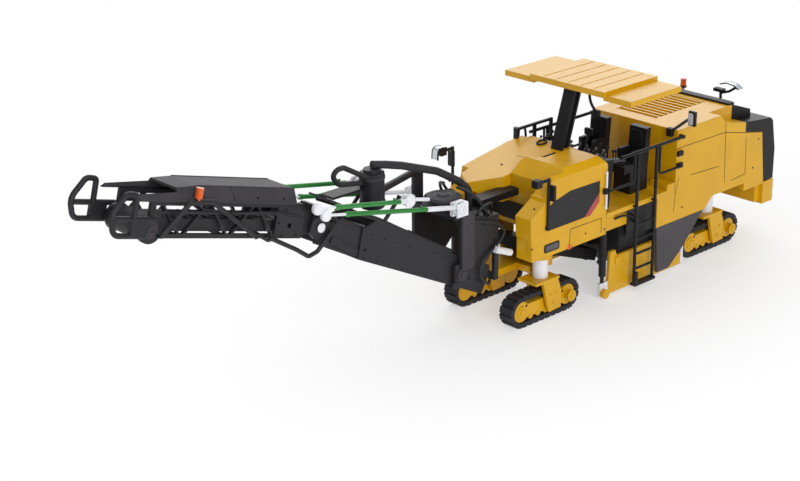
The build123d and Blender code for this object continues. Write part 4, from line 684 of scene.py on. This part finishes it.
seam_line = [(38.4, -9.0), (38.3, -2.0), (38.2, 4.0), (37.6, 5.3)]
make("nose_seam", nose_strip(seam_line, 0.25, 0.04), SHADOW, smooth=False)
make("nose_wiper", nose_strip([(38.2, -0.9), (30.2, 1.6)], 0.5, 0.35), BLACK, smooth=False)
make("nose_screw", [screw(on_nose((46.6, -8.5)), (NOSE_FALL, 0, 1), 1.3)], BLACK)
turn = np.linspace(0.0, 2 * np.pi, 40, endpoint=False)
CIRCLE = np.stack([np.cos(turn), np.sin(turn)], axis=1)
rim = on_nose((26.4, -8.2) + CIRCLE * (1.9, 1.5), 0.35)
make("filler_cap_ring", [hoop_set(rim, 0.34)], BLACK)

# %% [markdown]
# ## Dressing the platform
# Control levers are thin wires with balls on top. In front of the seats a bank of small knobs
# runs from side to side, and a screen stands on a bent arm between them. A sphere from the Add
# menu would do for each ball; a half circle turned about an upright line gives the same shape
# with the lathe that we have.

# %% Screen and knobs
BALL_TURN = np.linspace(0.05, 3.09, 9)
BALL = np.stack([-np.cos(BALL_TURN), np.sin(BALL_TURN)], axis=1)


def lever(foot, top, ball=0.55):
    """A wire from foot to top and a ball on its end."""
    foot, top = np.asarray(foot, float), np.asarray(top, float)
    wire = tube_set([foot, (foot + top) / 2, top], 0.24, 8)
    return [wire, turned_set(top, (0, 0, 1), BALL * ball, 12)]


screen_arm = tube_set([(6.4, -4.6, 44.6), (6.6, -4.6, 49.0), (5.6, -4.6, 52.0)], 0.45, 10)
screen = block_set((5.2, -4.6, 53.2), (0.6, 1.9, 1.3))
make("operator_screen", [screen_arm, screen], BLACK)
bank = []
for k, y in enumerate(np.linspace(-15.0, 15.0, 13)):
    top = (19.6 - (k % 3), y + 0.3, 52.3 + 0.9 * ((k * 5) % 3) / 2)
    bank += lever((20.6 - (k % 2), y, 50.2), top, 0.5 + 0.15 * (k % 2))
make("console_knobs", bank, GAUGE)

# %% [markdown]
# The side consoles carry four levers and two gauges each. How far forward and how high these
# stand is taken from the consoles' own box, so that they follow when a console is moved. Beside
# each seat an arm rest ends in a hand unit with two sticks.

# %% Levers and gauges
STICK_X, STICK_Y = 11.0, 12.3
GAUGES = ((2.4, 8.0, 0.3, (1.0, 1.3, 0.9)), (5.0, 10.0, 0.6, (0.8, 1.6, 0.7)))


def box_mm(node):
    """A solid's lowest and highest corner, in millimetres."""
    low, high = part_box(node)
    return np.array(low) / MM, np.array(high) / MM


console_high = box_mm("control_consoles")[1]
levers, gauges = [], []
for s in SIDES:
    for k in range(4):
        foot = (console_high[0] - 1.6 - 1.35 * k, s * (11.4 - 0.7 * k), console_high[2] - 1.9)
        levers += lever(foot, np.add(foot, (-0.5, 0.0, 3.6)))
    for back, y, down, half in GAUGES:
        gauges.append(block_set((console_high[0] - back, s * y, console_high[2] - down), half))
    arm_rest = [(5.4, s * STICK_Y, 46.2), (8.0, s * STICK_Y, 46.9), (10.0, s * STICK_Y, 47.4)]
    gauges.append(tube_set(arm_rest, 0.55, 10))
    gauges.append(block_set((STICK_X, s * STICK_Y, 47.6), (1.9, 1.3, 0.6)))
    for forward, tall in ((-0.8, 2.6), (0.7, 3.0)):
        foot = (STICK_X + forward, s * STICK_Y, 47.8)
        levers += lever(foot, (10.7 + forward, s * 12.1, 48.0 + tall), 0.6)
    for y in (6.2, 9.6, 13.0):
        levers += lever((17.6, s * y, 49.4), (15.4, s * y, 53.6), 0.6)
make("control_levers", levers, (cowl_plastic, "dark_plastic"))
make("control_gauges", gauges, GAUGE)

# %% [markdown]
# Each seat has a soft pad and a back rest. A cloth simulation would wrinkle them, but on a
# model they are moulded and smooth: the rounded block again, thinner than the moulding that
# carries it, and with a higher power, so that its edges are rounder.

# %% Seat pads
SEAT_Y = 9.2
pads = []
for s in SIDES:
    pads.append(block_set((1.2, s * SEAT_Y, 43.8), (4.4, 2.4, 0.5), 0.35, 9, 28))
    pads.append(block_set((-4.9, s * SEAT_Y, 50.4), (0.6, 2.8, 4.4), 0.4, 9, 28))
make("seat_pads", pads, (seat_cloth, "dark_plastic"))

# %% [markdown]
# ## Dressing the canopy
# Two long ribs stiffen the roof from below. A rib in a pressed sheet has no sharp edge, so they
# are blocks with a very low power and not plain strips. Their middle and height come from the
# roof's own box.

# %% Canopy ribs
roof_low, roof_high = box_mm("canopy_roof")
rib_x, rib_z = (roof_low[0] + roof_high[0]) / 2, roof_high[2] - 2.3
ribs = [block_set((rib_x, y, rib_z), (12.4, 0.45, 0.35), 0.12, 7, 16) for y in (-9.0, 9.0)]
make("canopy_ribs", ribs, YELLOW)

# %% [markdown]
# The leaning post is a channel: a wide flange runs up its front edge and another up its rear
# edge. Each is a plate whose outline leans with the post, so that nothing has to be turned. A
# bent arm under the roof holds a small work lamp.

# %% Post flanges and work lamp
FOOT_X, TOP_X, FOOT_Z, TOP_Z = 28.1, 21.5, 52.7, 73.7
THICK, WIDE = 0.9, 5.0
flanges = []
for back in (0.0, 2.9):
    edge = np.array([(FOOT_X - back, FOOT_Z), (TOP_X - back, TOP_Z)])
    outline = np.concatenate([edge, (edge - (THICK, 0.0))[::-1]])
    flanges.append(plate_set(in_plane(outline, SIDEWAYS, -WIDE / 2), (0.0, 1.0, 0.0), WIDE))
make("post_flanges", flanges, BLACK, smooth=False)
ARM = [(18.6, 71.6), (15.4, 72.6), (11.2, 72.2), (10.6, 66.6), (7.6, 62.4)]
arm = tube_set(round_corners(in_plane(ARM, SIDEWAYS, 0.0), 3.0, 7), 0.5, 10)
make("work_lamp_arm", [arm, block_set((6.9, 0.0, 61.4), (0.9, 1.5, 1.2))], BLACK)

# %% [markdown]
# The engine cowl ends at the hood in a raised band, moulded in one with it. It is a block with a
# low power, long and flat, and has the cowl's own finish, so that it reads as one moulding.

# %% Cowl band
make("cowl_top_band", [block_set((-54.1, 0.0, 54.6), (1.9, 14.5, 0.7), 0.2)], COWL)

# %% [markdown]
# ## Dressing the conveyor
# The inner section of the conveyor climbs from its hinge on the turret, and the outer one less
# steeply from the fold hinge. We could build their fittings flat and turn the objects, but the
# grain of the paint would turn with them. So a point is given by how far it lies along a
# section and how high above its middle line, and two turned directions make a place of that.

# %% Section frames
INNER_TILT, OUTER_TILT = math.radians(27.0), math.radians(15.3)
LIFT_HINGE = np.array([85.0, 0.0, 25.0])


def along_section(origin, tilt, s, t, y):
    """Origin plus s times the climbing direction plus t times the direction square to it, at
    sideways place y. Each of the three is a number or an array."""
    c, d = math.cos(tilt), math.sin(tilt)
    place = np.broadcast_arrays(origin[0] + s * c - t * d, y, origin[2] + s * d + t * c)
    return np.stack(place, axis=-1)


def inner_at(s, t, y):
    """A point of the inner section."""
    return along_section(LIFT_HINGE, INNER_TILT, s, t, y)


FOLD_HINGE = inner_at(67.1, 1.7, 0.0)


def outer_at(s, t, y):
    """A point of the outer section."""
    return along_section(FOLD_HINGE, OUTER_TILT, s, t, y)


LIFT_EYE, LIFT_FOOT, LIFT_Y = inner_at(69.0, 5.8, 0.0), np.array([87.6, 0.0, 49.4]), 11.1
FOLD_EYE, FOLD_FOOT, FOLD_Y = outer_at(6.5, 6.8, 0.0), inner_at(37.9, 17.8, 0.0), 12.9
print("fold hinge", FOLD_HINGE.round(2), "lift eye", LIFT_EYE.round(2))

# %% [markdown]
# Every pin of the linkage ends in a glossy white cap, the brightest spots of the conveyor. The
# fold hinge has a low dome, the cylinders' eyes a fat rounded knob. Sleeves of the same white
# cover the necks of the green barrels. All are lathe shapes, and each rides on the body of the
# pin or barrel that it covers.

# %% White caps and sleeves
DOME = np.array([(0.0, 1.0), (0.25, 1.0), (0.42, 0.86), (0.52, 0.5), (0.55, 0.0)])
KNOB_BASE = [(-0.74, 1.5), (-0.62, 1.84), (-0.2, 1.95)]
KNOB_CROWN = [(0.3, 1.9), (0.62, 1.6), (0.82, 1.1), (0.9, 0.5), (0.92, 0.0)]


def on_pin(point, y, profile, sides=24):
    """A lathe shape on both ends of a cross pin, y from the middle, facing outwards."""
    return [turned_set((point[0], s * y, point[2]), (0, s, 0), profile, sides) for s in SIDES]


def knobs(point, y, stand=1.0, wide=1.0):
    """A knob on both ends of a pin: the crown's height times stand, every radius times wide."""
    profile = np.concatenate([KNOB_BASE, np.array(KNOB_CROWN) * (stand, 1.0)])
    return on_pin(point, y, profile * (1.0, wide))


def on_cylinder(start, end, y, profile):
    """A lathe shape about each of a pair of cylinders, measured from their starts."""
    way = (end - start) / np.linalg.norm(end - start)
    return [turned_set(start + (0.0, s * y, 0.0), way, profile) for s in SIDES]


def sleeve(first, last, radius=0.8):
    """A tube between two distances from a cylinder's start, with its ends drawn in."""
    end = radius * 0.8
    return [(first, end), (first + 0.25, radius), (last - 0.25, radius), (last, end)]


make("hinge_caps", on_pin(FOLD_HINGE, 9.0, DOME * (1.5 * 0.6, 1.5)), WHITE, "outer_section")
make("fold_rod_knobs", knobs(FOLD_EYE, FOLD_Y), WHITE, "fold_rod_pair")
make("lift_rod_knobs", knobs(LIFT_EYE, LIFT_Y), WHITE, "lift_rod_pair")
root = knobs(FOLD_FOOT, FOLD_Y, 1.1, 1.16)
root += on_cylinder(FOLD_FOOT, FOLD_EYE, FOLD_Y, sleeve(1.4, 4.6))
make("fold_barrel_knobs", root, WHITE, "fold_barrel_pair")
root = knobs(LIFT_FOOT, LIFT_Y, 0.7, 1.16)
root += on_cylinder(LIFT_FOOT, LIFT_EYE, LIFT_Y, sleeve(1.4, 14.6))
make("lift_barrel_knobs", root, WHITE, "lift_barrel_pair")

# %% [markdown]
# Each green barrel has a gland at its mouth and a small port boss with a union, where the hose
# of a real machine would screw in. They have the barrel's colour, because a model's cylinder is
# moulded in one, and only their steps set them off.

# %% Barrel glands
GLAND = np.array([(-1.5, 0.78), (-1.4, 0.92), (-0.1, 0.92), (0.05, 0.7)])
BOSS = [(0.5, 0.36), (1.05, 0.36), (1.1, 0.46), (1.35, 0.46), (1.4, 0.2), (1.4, 0.0)]


def glands(start, end, y, mouth, port):
    """A stepped collar at the barrel's mouth and a boss on its upper side, on both sides."""
    way = (end - start) / np.linalg.norm(end - start)
    up = np.cross(way, (0.0, 1.0, 0.0))
    up = up if up[2] > 0 else -up
    parts = []
    for s in SIDES:
        base = start + (0.0, s * y, 0.0)
        parts.append(turned_set(base, way, GLAND + (mouth, 0.0)))
        parts.append(turned_set(base + way * port, up, BOSS, 12))
    return parts


lift_parts = glands(LIFT_FOOT, LIFT_EYE, LIFT_Y, 49.4, 17.0)
fold_parts = glands(FOLD_FOOT, FOLD_EYE, FOLD_Y, 31.4, 7.0)
make("lift_glands", lift_parts, GREEN, "lift_barrel_pair")
make("fold_glands", fold_parts, GREEN, "fold_barrel_pair")

# %% [markdown]
# **Turret hoses.** A long hose with many bends hangs on each cheek, and shorter ones loop over
# the cheek's edge and drop behind it. A simulated cord would hang well at one pose only. These
# are fixed curves that start and end on the turret, so that they never stretch when it swings.

# %% Turret hoses


def hoses_along(routes, bend, radius, steps=6):
    """One hose for each route, its corners rounded by bend."""
    return [tube_set(round_corners(route, bend, steps), radius, 10) for route in routes]


HOSE_Y = 11.2
HANG = [(79.8, 42.6), (69.6, 39.6), (65.2, 36.0), (67.3, 32.5), (72.1, 30.2), (77.0, 27.0)]
HANG += [(77.6, 22.5), (73.2, 18.0)]
long_route = [(79.8, 9.6, 43.4), *in_plane(HANG, SIDEWAYS, HOSE_Y), (71.0, 9.6, 19.2)]
hoses = hoses_along([mirrored(long_route, s) for s in SIDES], 3.2, 0.5, 7)
make("turret_hoses", hoses, HOSE, "turret")
loop_route = [(76.6, 9.0, 42.4), (78.0, 10.9, 46.0), (71.6, 10.9, 47.4), (68.6, 8.0, 43.6)]
loop_route += [(68.4, 7.4, 41.4)]
left_loop = round_corners(loop_route, 3.0, 7)
loops = [tube_set(left_loop * (1.0, y, 1.0), 0.42, 10) for y in (1.0, -0.8)]
make("turret_loops", loops, HOSE, "turret")

# %% [markdown]
# **Turret plates and bolts.** The raised post on each cheek is a rounded plate, white pins hold
# the cylinders' clevises, the round tank carries a stepped lid, and bolt heads mark the cheeks.
# Plates, lathe shapes and screws are the three helpers that we have, so a list of places does
# the rest. The front edge of the right cheek has no bolts.

# %% Turret plates and bolts
POST_Y, CHEEK_Y = 10.2, 10.3
post_face = rounded_outline((80.0, 26.6), (85.6, 46.2), 1.0)
post_face = in_plane(post_face, SIDEWAYS, POST_Y)
posts = [plate_set(mirrored(post_face, s), (0.0, s, 0.0), 1.0) for s in SIDES]
make("turret_posts", posts, CHARCOAL, "turret", smooth=False)
PIN = [(-0.1, 1.5), (0.3, 1.5), (0.5, 1.2), (0.55, 0.6), (0.95, 0.5), (1.0, 0.0)]
make("clevis_pins", on_pin((87.0, 0.0, 48.8), 12.5, PIN), WHITE, "turret")
drops = []
for shift in (0.0, 1.4):
    route = [(80.2, 3.0, 52.6), (78.4, 7.0 - shift, 51.6), (75.4 - shift, 9.2 - shift, 47.6)]
    route += [(72.8, 9.2 - shift, 43.6), (70.6, 8.8 - shift, 41.4)]
    drops += hoses_along([mirrored(route, s) for s in SIDES], 2.6, 0.5)
make("turret_drop_hoses", drops, HOSE, "turret")
LID = [(0.0, 6.3), (0.35, 6.3), (0.45, 5.8), (0.75, 5.5), (0.85, 4.2), (0.7, 4.0), (0.95, 2.2)]
LID += [(1.3, 2.0), (1.35, 0.0)]
make("tank_lid", [turned_set((83.6, 0.0, 49.2), (0, 0, 1), LID, 48)], CHARCOAL, "turret")
CHEEK_BOLTS = [(69.6, 39.6), (75.0, 40.2), (69.6, 33.0), (87.6, 23.0), (81.6, 22.6), (87.8, 43.6)]
LEFT_ONLY_FROM = 84.0
bolts = [(x, s, z) for x, z in CHEEK_BOLTS for s in SIDES if s > 0 or x < LEFT_ONLY_FROM]
bolts = [screw((x, s * CHEEK_Y, z), (0, s, 0), 1.35) for x, s, z in bolts]
make("turret_bolts", bolts, BLACK_BOLT, "turret")
PIVOT_CAP = [(0.0, 2.2), (0.35, 2.2), (0.5, 1.9), (0.55, 1.2), (0.9, 1.1), (0.95, 0.0)]
make("lift_pivot_caps", on_pin(LIFT_HINGE, CHEEK_Y, PIVOT_CAP), CHARCOAL, "turret")

# %% [markdown]
# **Dust fan.** The housing gets two rolled bands, and a wire guard of rings and spokes over its
# lower end. A Wireframe modifier on a disc would give a guard with flat bars; tubes and hoops
# are round, as wire is. All of it turns with the turret.

# %% Fan bands and guard
FAN_X, FAN_Y = 114.0, -1.0
GUARD_Z, WIRE = 53.6, 0.16
BAND = [(-0.5, 4.0), (-0.4, 4.22), (0.4, 4.22), (0.5, 4.0)]
bands = [turned_set((FAN_X, FAN_Y, z), (0, 0, 1), BAND, 36) for z in (55.2, 63.6)]
for radius in (1.2, 2.4, 3.6):
    circle = in_plane((FAN_X, FAN_Y) + CIRCLE * radius, UPWARD, GUARD_Z)
    bands.append(hoop_set(circle, WIRE, 6))
middle = np.array([FAN_X, FAN_Y, GUARD_Z])
for angle in np.linspace(0.0, np.pi, 4, endpoint=False):
    spoke = 3.8 * np.array([math.cos(angle), math.sin(angle), 0.0])
    bands.append(tube_set([middle - spoke, middle, middle + spoke], WIRE, 6))
make("fan_bands", bands, CHARCOAL, "turret")

# %% [markdown]
# **Inner section.** Rivets follow both side panels, two hydraulic hoses lie on the left top
# flange with clips, and a hood plate bridges the step to the outer section. Rivets could be
# painted on, but real heads catch the light as the conveyor rises. The hood's right half is
# short, because the fan's shelf comes down there when the conveyor is raised.

# %% Inner section fittings
PANEL_Y = 8.7
rivets = []
for s in SIDES:
    for along in np.arange(3.0, 46.0, 6.0):
        for height in (-3.7, 3.9):
            rivets.append(screw(inner_at(along, height, s * PANEL_Y), (0, s, 0), 0.8))
    rivets.append(screw(inner_at(45.6, -1.2, s * PANEL_Y), (0, s, 0), 1.6))
make("inner_rivets", rivets, BLACK_BOLT, "inner_section")
hoses = []
for gap in (0.0, 1.1):
    route = [(17.0, 6.2), (20.0, 7.4), (44.0, 9.6 - gap), (55.0, 8.4 - gap), (58.0, 6.0)]
    path = round_corners(inner_at(*np.transpose(route), 6.6 - gap), 3.0)
    hoses.append(tube_set(path, 0.42, 8))
make("inner_hoses", hoses, HOSE, "inner_section")
clips = [inner_at(s, 8.0 + 0.05 * (s - 26.0), 6.05) for s in (26.0, 40.0)]
clips = [block_set(centre, (0.5, 1.3, 0.7), 0.3, 7, 16) for centre in clips]
make("inner_hose_clips", clips, BLACK, "inner_section")
SHORT_HOOD = [(57.4, 10.2), (63.0, 10.6), (63.0, 10.0), (57.4, 9.6)]
LONG_HOOD = [(44.5, 8.2), (57.0, 10.2), (63.0, 10.6), (63.0, 10.0), (57.0, 9.6), (44.5, 7.6)]
bridge = []
for line, y, width in ((LONG_HOOD, -0.95, 6.35), (SHORT_HOOD, -5.4, 4.35)):
    bridge.append(plate_set(inner_at(*np.transpose(line), y), (0.0, 1.0, 0.0), width))
make("bridge_hood", bridge, CHARCOAL, "inner_section", smooth=False)

# %% [markdown]
# **Outer section.** Bolt heads mark the cheeks, and stepped covers close the bearings of the
# head drum. Both are turned profiles again, placed along the section's own inclined line.

# %% Outer section fittings
OUTER_BOLTS = ((3.6, 5.4), (8.0, 5.6), (14.6, 5.4), (14.6, -2.8), (9.0, -2.4), (16.4, 1.2))
OUTER_Y = 8.2
bolts = [screw(outer_at(a, t, s * OUTER_Y), (0, s, 0), 1.1) for s in SIDES for a, t in OUTER_BOLTS]
make("outer_bolts", bolts, BLACK_BOLT, "outer_section")
BEARING = [(-0.2, 2.7), (0.25, 2.7), (0.35, 2.4), (0.4, 1.5), (0.8, 1.4), (0.9, 1.1), (0.9, 0.6)]
BEARING += [(0.6, 0.5), (0.6, 0.0)]
covers = on_pin(outer_at(63.0, -1.1, 0.0), OUTER_Y, BEARING, 32)
make("head_bearings", covers, CHARCOAL, "outer_section")

# %% [markdown]
# The belt cover is sheet metal with two folded rims a side. A fold looks like a thin round bar,
# so a tube is enough. Screws and a seam lie on the cover, and the beacon's cable runs along the
# left side below it.

# %% Belt cover fittings
LOW_RIM_T, LOW_RIM_Y = 7.25, 8.72
TOP_RIM_T, TOP_RIM_Y = 11.45, 6.15
rims = []
for s in SIDES:
    low_rim = outer_at(np.array([11.0, 29.0, 47.8, 58.0, 69.4]), LOW_RIM_T, s * LOW_RIM_Y)
    top_rim = outer_at(np.array([11.2, 29.0, 47.6]), TOP_RIM_T, s * TOP_RIM_Y)
    rims += [tube_set(low_rim, 0.26, 8), tube_set(top_rim, 0.16, 8)]
make("cover_rims", rims, CHARCOAL, "outer_section")
heads = [(outer_at(a, 8.6, s * 8.12), (0, s, 0.6)) for s in SIDES for a in (16.0, 26.0, 46.0)]
make("cover_screws", [screw(*head) for head in heads], BLACK_BOLT, "outer_section")
seams = [[outer_at(35.4, TOP_RIM_T, s * 6.1), outer_at(34.4, 7.3, s * LOW_RIM_Y)] for s in SIDES]
make("cover_seam", [tube_set(line, 0.13, 6) for line in seams], BLACK_BOLT, "outer_section")
CABLE = [(8.0, 3.0), (18.0, 4.8), (34.0, 4.4), (47.0, 5.4), (49.6, 7.4)]
cable = round_corners(outer_at(*np.transpose(CABLE), 9.1), 3.0)
make("beacon_cable", [tube_set(cable, 0.26, 8)], HOSE, "outer_section")

# %% [markdown]
# Low cleats cross the rubber belt and keep the load from sliding back. A displaced texture could
# raise them, but each is a plain plate, and a loop that lays one every four millimetres says so.

# %% Belt cleats
CLEAT_WIDE, CLEAT_T, CLEAT_Y = 0.5, 1.58, 5.2
rise = outer_at(0, 0.25, 0) - outer_at(0, 0, 0)
cleats = []
for a in np.arange(12.0, 56.0, 4.0):
    ends = np.array([a, a + CLEAT_WIDE, a + CLEAT_WIDE, a])
    sides = np.array([-CLEAT_Y, -CLEAT_Y, CLEAT_Y, CLEAT_Y])
    cleats.append(plate_set(outer_at(ends, CLEAT_T, sides), rise, 1.0))
make("outer_belt_cleats", cleats, BELT, "outer_section", smooth=False)

# %% [markdown]
# ## Mirrors and beacon
# The solid mirrors are dark shells. Two of them get a small foil face. The front right mirror is
# a bright plate bowed over like a hood, and the rear lamp wears a bowed plate as well. A Simple
# Deform modifier could bow a flat plate; an outline that already bows is easier to place.

# %% Mirror faces
FRONT_BOW = [(66.95, 53.4), (66.9, 55.2), (66.7, 56.6), (66.0, 57.25), (64.6, 57.35), (62.8, 57.1)]
LOW_Y, HIGH_Y = -22.0, -19.4
REAR_BOW = np.array([(1.4, 58.0), (4.4, 58.9), (7.6, 58.6), (10.0, 57.3)])
REAR_PLATE_X, REAR_PLATE_WIDTH, REAR_HALF_THICK = -66.4, 2.6, (0.0, 0.15)
faces = [block_set((59.05, 20.6, 53.05), (0.12, 1.05, 1.05), 0.25, 7, 16)]
faces.append(block_set((-18.0, 22.7, 58.5), (0.12, 1.1, 2.2), 0.25, 7, 16))
front_plate = in_plane(ribbon(FRONT_BOW, 0.3), SIDEWAYS, LOW_Y)
faces.append(plate_set(front_plate, (0.0, 1.0, 0.0), HIGH_Y - LOW_Y))
rear_edge = np.concatenate([REAR_BOW + REAR_HALF_THICK, (REAR_BOW - REAR_HALF_THICK)[::-1]])
rear_plate = in_plane(rear_edge, FORWARD, REAR_PLATE_X)
faces.append(plate_set(rear_plate, (1.0, 0.0, 0.0), REAR_PLATE_WIDTH))
# The foil faces carry a painted reflection in their pale colour.
make("mirror_faces", faces, FOIL_AND_PAINTED_REFLECTION)

# %% [markdown]
# A dark rim follows both edges of each bowed plate: a tube along the same bow that shaped the
# plate, so that the two can't drift apart. A short arm holds the rear one.

# %% Mirror rims
rims = []
for y in (LOW_Y - 0.1, HIGH_Y + 0.1):
    rims.append(tube_set(in_plane(FRONT_BOW, SIDEWAYS, y), 0.3, 8))
for x in (REAR_PLATE_X, REAR_PLATE_X + REAR_PLATE_WIDTH):
    rims.append(tube_set(in_plane(REAR_BOW, FORWARD, x), 0.25, 8))
rims.append(tube_set([(-64.7, 1.8, 54.4), (-64.9, 5.2, 55.6), (-65.1, 8.4, 57.9)], 0.5, 10))
make("mirror_rims", rims, BLACK)

# %% [markdown]
# The amber beacon at the rear sits in a dark ring, which hides the joint to its stem. A torus
# would be too round: this is a moulded collar with a flat outer face.

# %% Beacon ring
BEACON_RING = [(-0.9, 0.7), (-0.7, 1.35), (-0.1, 1.35), (0.1, 1.1)]
make("rear_beacon_ring", [turned_set((-66.6, -18.0, 53.0), (0, 0, 1), BEACON_RING)], BLACK)

# %% [markdown]
# ## Crawler details
# Each crawler turns with its own steering joint, so its fittings ride on that body: a stepped
# hub at each end of the loop, caps on the bogie rollers and bolts on the yoke, all yellow, and
# small dark bolts above the rollers. Array and Mirror modifiers could repeat one crawler, but
# each of the four moves by itself, so a loop makes them as separate pieces.

# %% Hubs, caps and bolts
LEG_X = {"front": 50.0, "rear": -42.5}
LEG_Y, WEB_OUT, HUB_OUT, YOKE_OUT = 13.4, 2.3, 4.4, 4.3
HUB_X, HUB_Z, ROLLER_Z = 11.6, 5.8, 3.3
HUB = [(-0.1, 2.1), (0.3, 2.1), (0.4, 1.8), (0.5, 1.2), (0.9, 1.1), (1.0, 0.8), (1.0, 0.0)]
FLAT_HUB = np.array(HUB) * (0.8, 1.0)
ROLLER_CAP = [(-0.1, 0.75), (0.2, 0.75), (0.3, 0.6), (0.32, 0.0)]
YOKE_BOLTS = ((-3.4, 9.4), (-0.6, 9.4), (-2.4, 5.9))
WEB_BOLTS = ((-9.0, 7.6), (-6.5, 8.3), (9.2, 7.6), (11.6, 7.6))
for end, side in (("front", 1), ("front", -1), ("rear", 1), ("rear", -1)):
    corner = end + ("_left" if side > 0 else "_right")
    leg_x, leg_y, outward = LEG_X[end], side * LEG_Y, (0.0, side, 0.0)
    web_y = leg_y + side * WEB_OUT
    parts = [turned_set((leg_x - HUB_X, leg_y + side * HUB_OUT, HUB_Z), outward, HUB)]
    parts.append(turned_set((leg_x + HUB_X, web_y, HUB_Z), outward, FLAT_HUB))
    for x in (7.0, 3.2, -0.6, -4.4):
        parts.append(turned_set((leg_x + x, web_y, ROLLER_Z), outward, ROLLER_CAP, 16))
    for x, z in YOKE_BOLTS:
        parts.append(screw((leg_x + x, leg_y + side * YOKE_OUT, z), outward, 1.5))
    make("track_fittings_" + corner, parts, YELLOW, "steered_" + corner)
    bolts = [(leg_x + x, web_y, z) for x, z in WEB_BOLTS]
    bolts = [block_set(centre, (0.45, 0.12, 0.45), 0.5, 7, 12) for centre in bolts]
    make("track_bolts_" + corner, bolts, BLACK, "steered_" + corner)

# %% [markdown]
# ## The studio
# The studio is a white table under three soft lamps. The floor keeps the machine's shadow and
# fades to plain white in a long oval around it, so that it meets the white background without
# an edge. A curved backdrop would hide that edge too, but only from the front.

# %% Floor
FADE_OFFSET, FADE_SCALE = (0.06, 0.0, 0.0), (11.0, 19.0, 1.0)
FADE = {"From Min": 0.6, "From Max": 1.9, "To Min": 0.5}
WHITE_LIGHT = {"Color": linear("#ffffff"), "Strength": 1.0}


def table_shader():
    """A pale matt surface, mixed with plain white by the distance from a point below the
    machine, measured in a space that is squeezed more sideways than lengthways."""
    material, tree, output = new_material("matt_white_table")
    place = add_node(tree, "ShaderNodeTexCoord").outputs["Object"]
    squeeze = {"Vector": place, "Location": FADE_OFFSET, "Scale": FADE_SCALE}
    oval = add_node(tree, "ShaderNodeMapping", None, squeeze).outputs["Vector"]
    reach = add_node(tree, "ShaderNodeVectorMath", {"operation": "LENGTH"}, {"Vector": oval})
    fade = add_node(tree, "ShaderNodeMapRange", None, {"Value": reach.outputs["Value"], **FADE})
    pale = {"Base Color": linear("#f4f4f4"), "Roughness": 0.7}
    matt = add_node(tree, "ShaderNodeBsdfPrincipled", None, pale)
    white = add_node(tree, "ShaderNodeEmission", None, WHITE_LIGHT)
    blend = {0: fade.outputs["Result"], 1: matt.outputs[0], 2: white.outputs[0]}
    mix = add_node(tree, "ShaderNodeMixShader", None, blend)
    tree.links.new(mix.outputs[0], output.inputs["Surface"])
    return material


RADII = np.array([0.0001, 0.1, 0.3, 1.0, 3.0])[:, None]
RIM_POINTS = 96
turn = np.linspace(0, 2 * np.pi, RIM_POINTS, endpoint=False)
disc = np.stack([RADII * np.cos(turn), RADII * np.sin(turn)], axis=-1).reshape(-1, 2)
data = bpy.data.meshes.new("table")
disc = in_plane(disc, UPWARD, 0.0).tolist()
data.from_pydata(disc, [], grid_faces(len(RADII), RIM_POINTS))
data.materials.append(table_shader())
floor = add_object("table", data)
print("floor", len(data.polygons), "faces")

# %% [markdown]
# Camera and transmission rays see a pure white world, while the light that it sheds stays
# modest. A white world alone would light the machine from all around and wash its colours out.

# %% World
world = bpy.data.worlds.new("studio")
world.use_nodes = True
tree = world.node_tree
tree.nodes.clear()
path = add_node(tree, "ShaderNodeLightPath")
rays = {0: path.outputs["Is Camera Ray"], 1: path.outputs["Is Transmission Ray"]}
seen = add_node(tree, "ShaderNodeMath", {"operation": "MAXIMUM"}, rays)
pale = {"Color": linear("#f2f4f7"), "Strength": 0.32}
light = add_node(tree, "ShaderNodeBackground", None, pale)
white = add_node(tree, "ShaderNodeBackground", None, WHITE_LIGHT)
blend = {0: seen.outputs[0], 1: light.outputs[0], 2: white.outputs[0]}
mix = add_node(tree, "ShaderNodeMixShader", None, blend)
out = add_node(tree, "ShaderNodeOutputWorld")
tree.links.new(mix.outputs[0], out.inputs["Surface"])
scene.world = world
print("world strength", pale["Strength"])

# %% [markdown]
# Three large square lamps stand above, at the front left and at the rear right. Small lamps or
# a sun would draw hard shadows, as on a machine of full size; a shop model is lit softly.

# %% Lamps


def soft_lamp(name, at, aim, width, watts):
    """A square lamp that faces its aim and stays out of the picture."""
    light = bpy.data.lights.new(name, "AREA")
    light.shape = "SQUARE"
    light.size = width
    light.energy = watts
    lamp = add_object(name, light)
    lamp.matrix_world = facing(at, aim)
    lamp.visible_camera = False


soft_lamp("overhead_softbox", (0.05, 0.02, 0.95), (0.06, 0.0, 0.02), 0.9, 2.9)
soft_lamp("left_key_softbox", (0.45, 1.0, 0.5), (0.05, 0.0, 0.03), 0.6, 6.9)
soft_lamp("far_softbox", (-0.78, -0.92, 0.66), (0.02, 0.0, 0.03), 1.3, 11.5)
scene.view_settings.view_transform = "Standard"
print("studio ready")
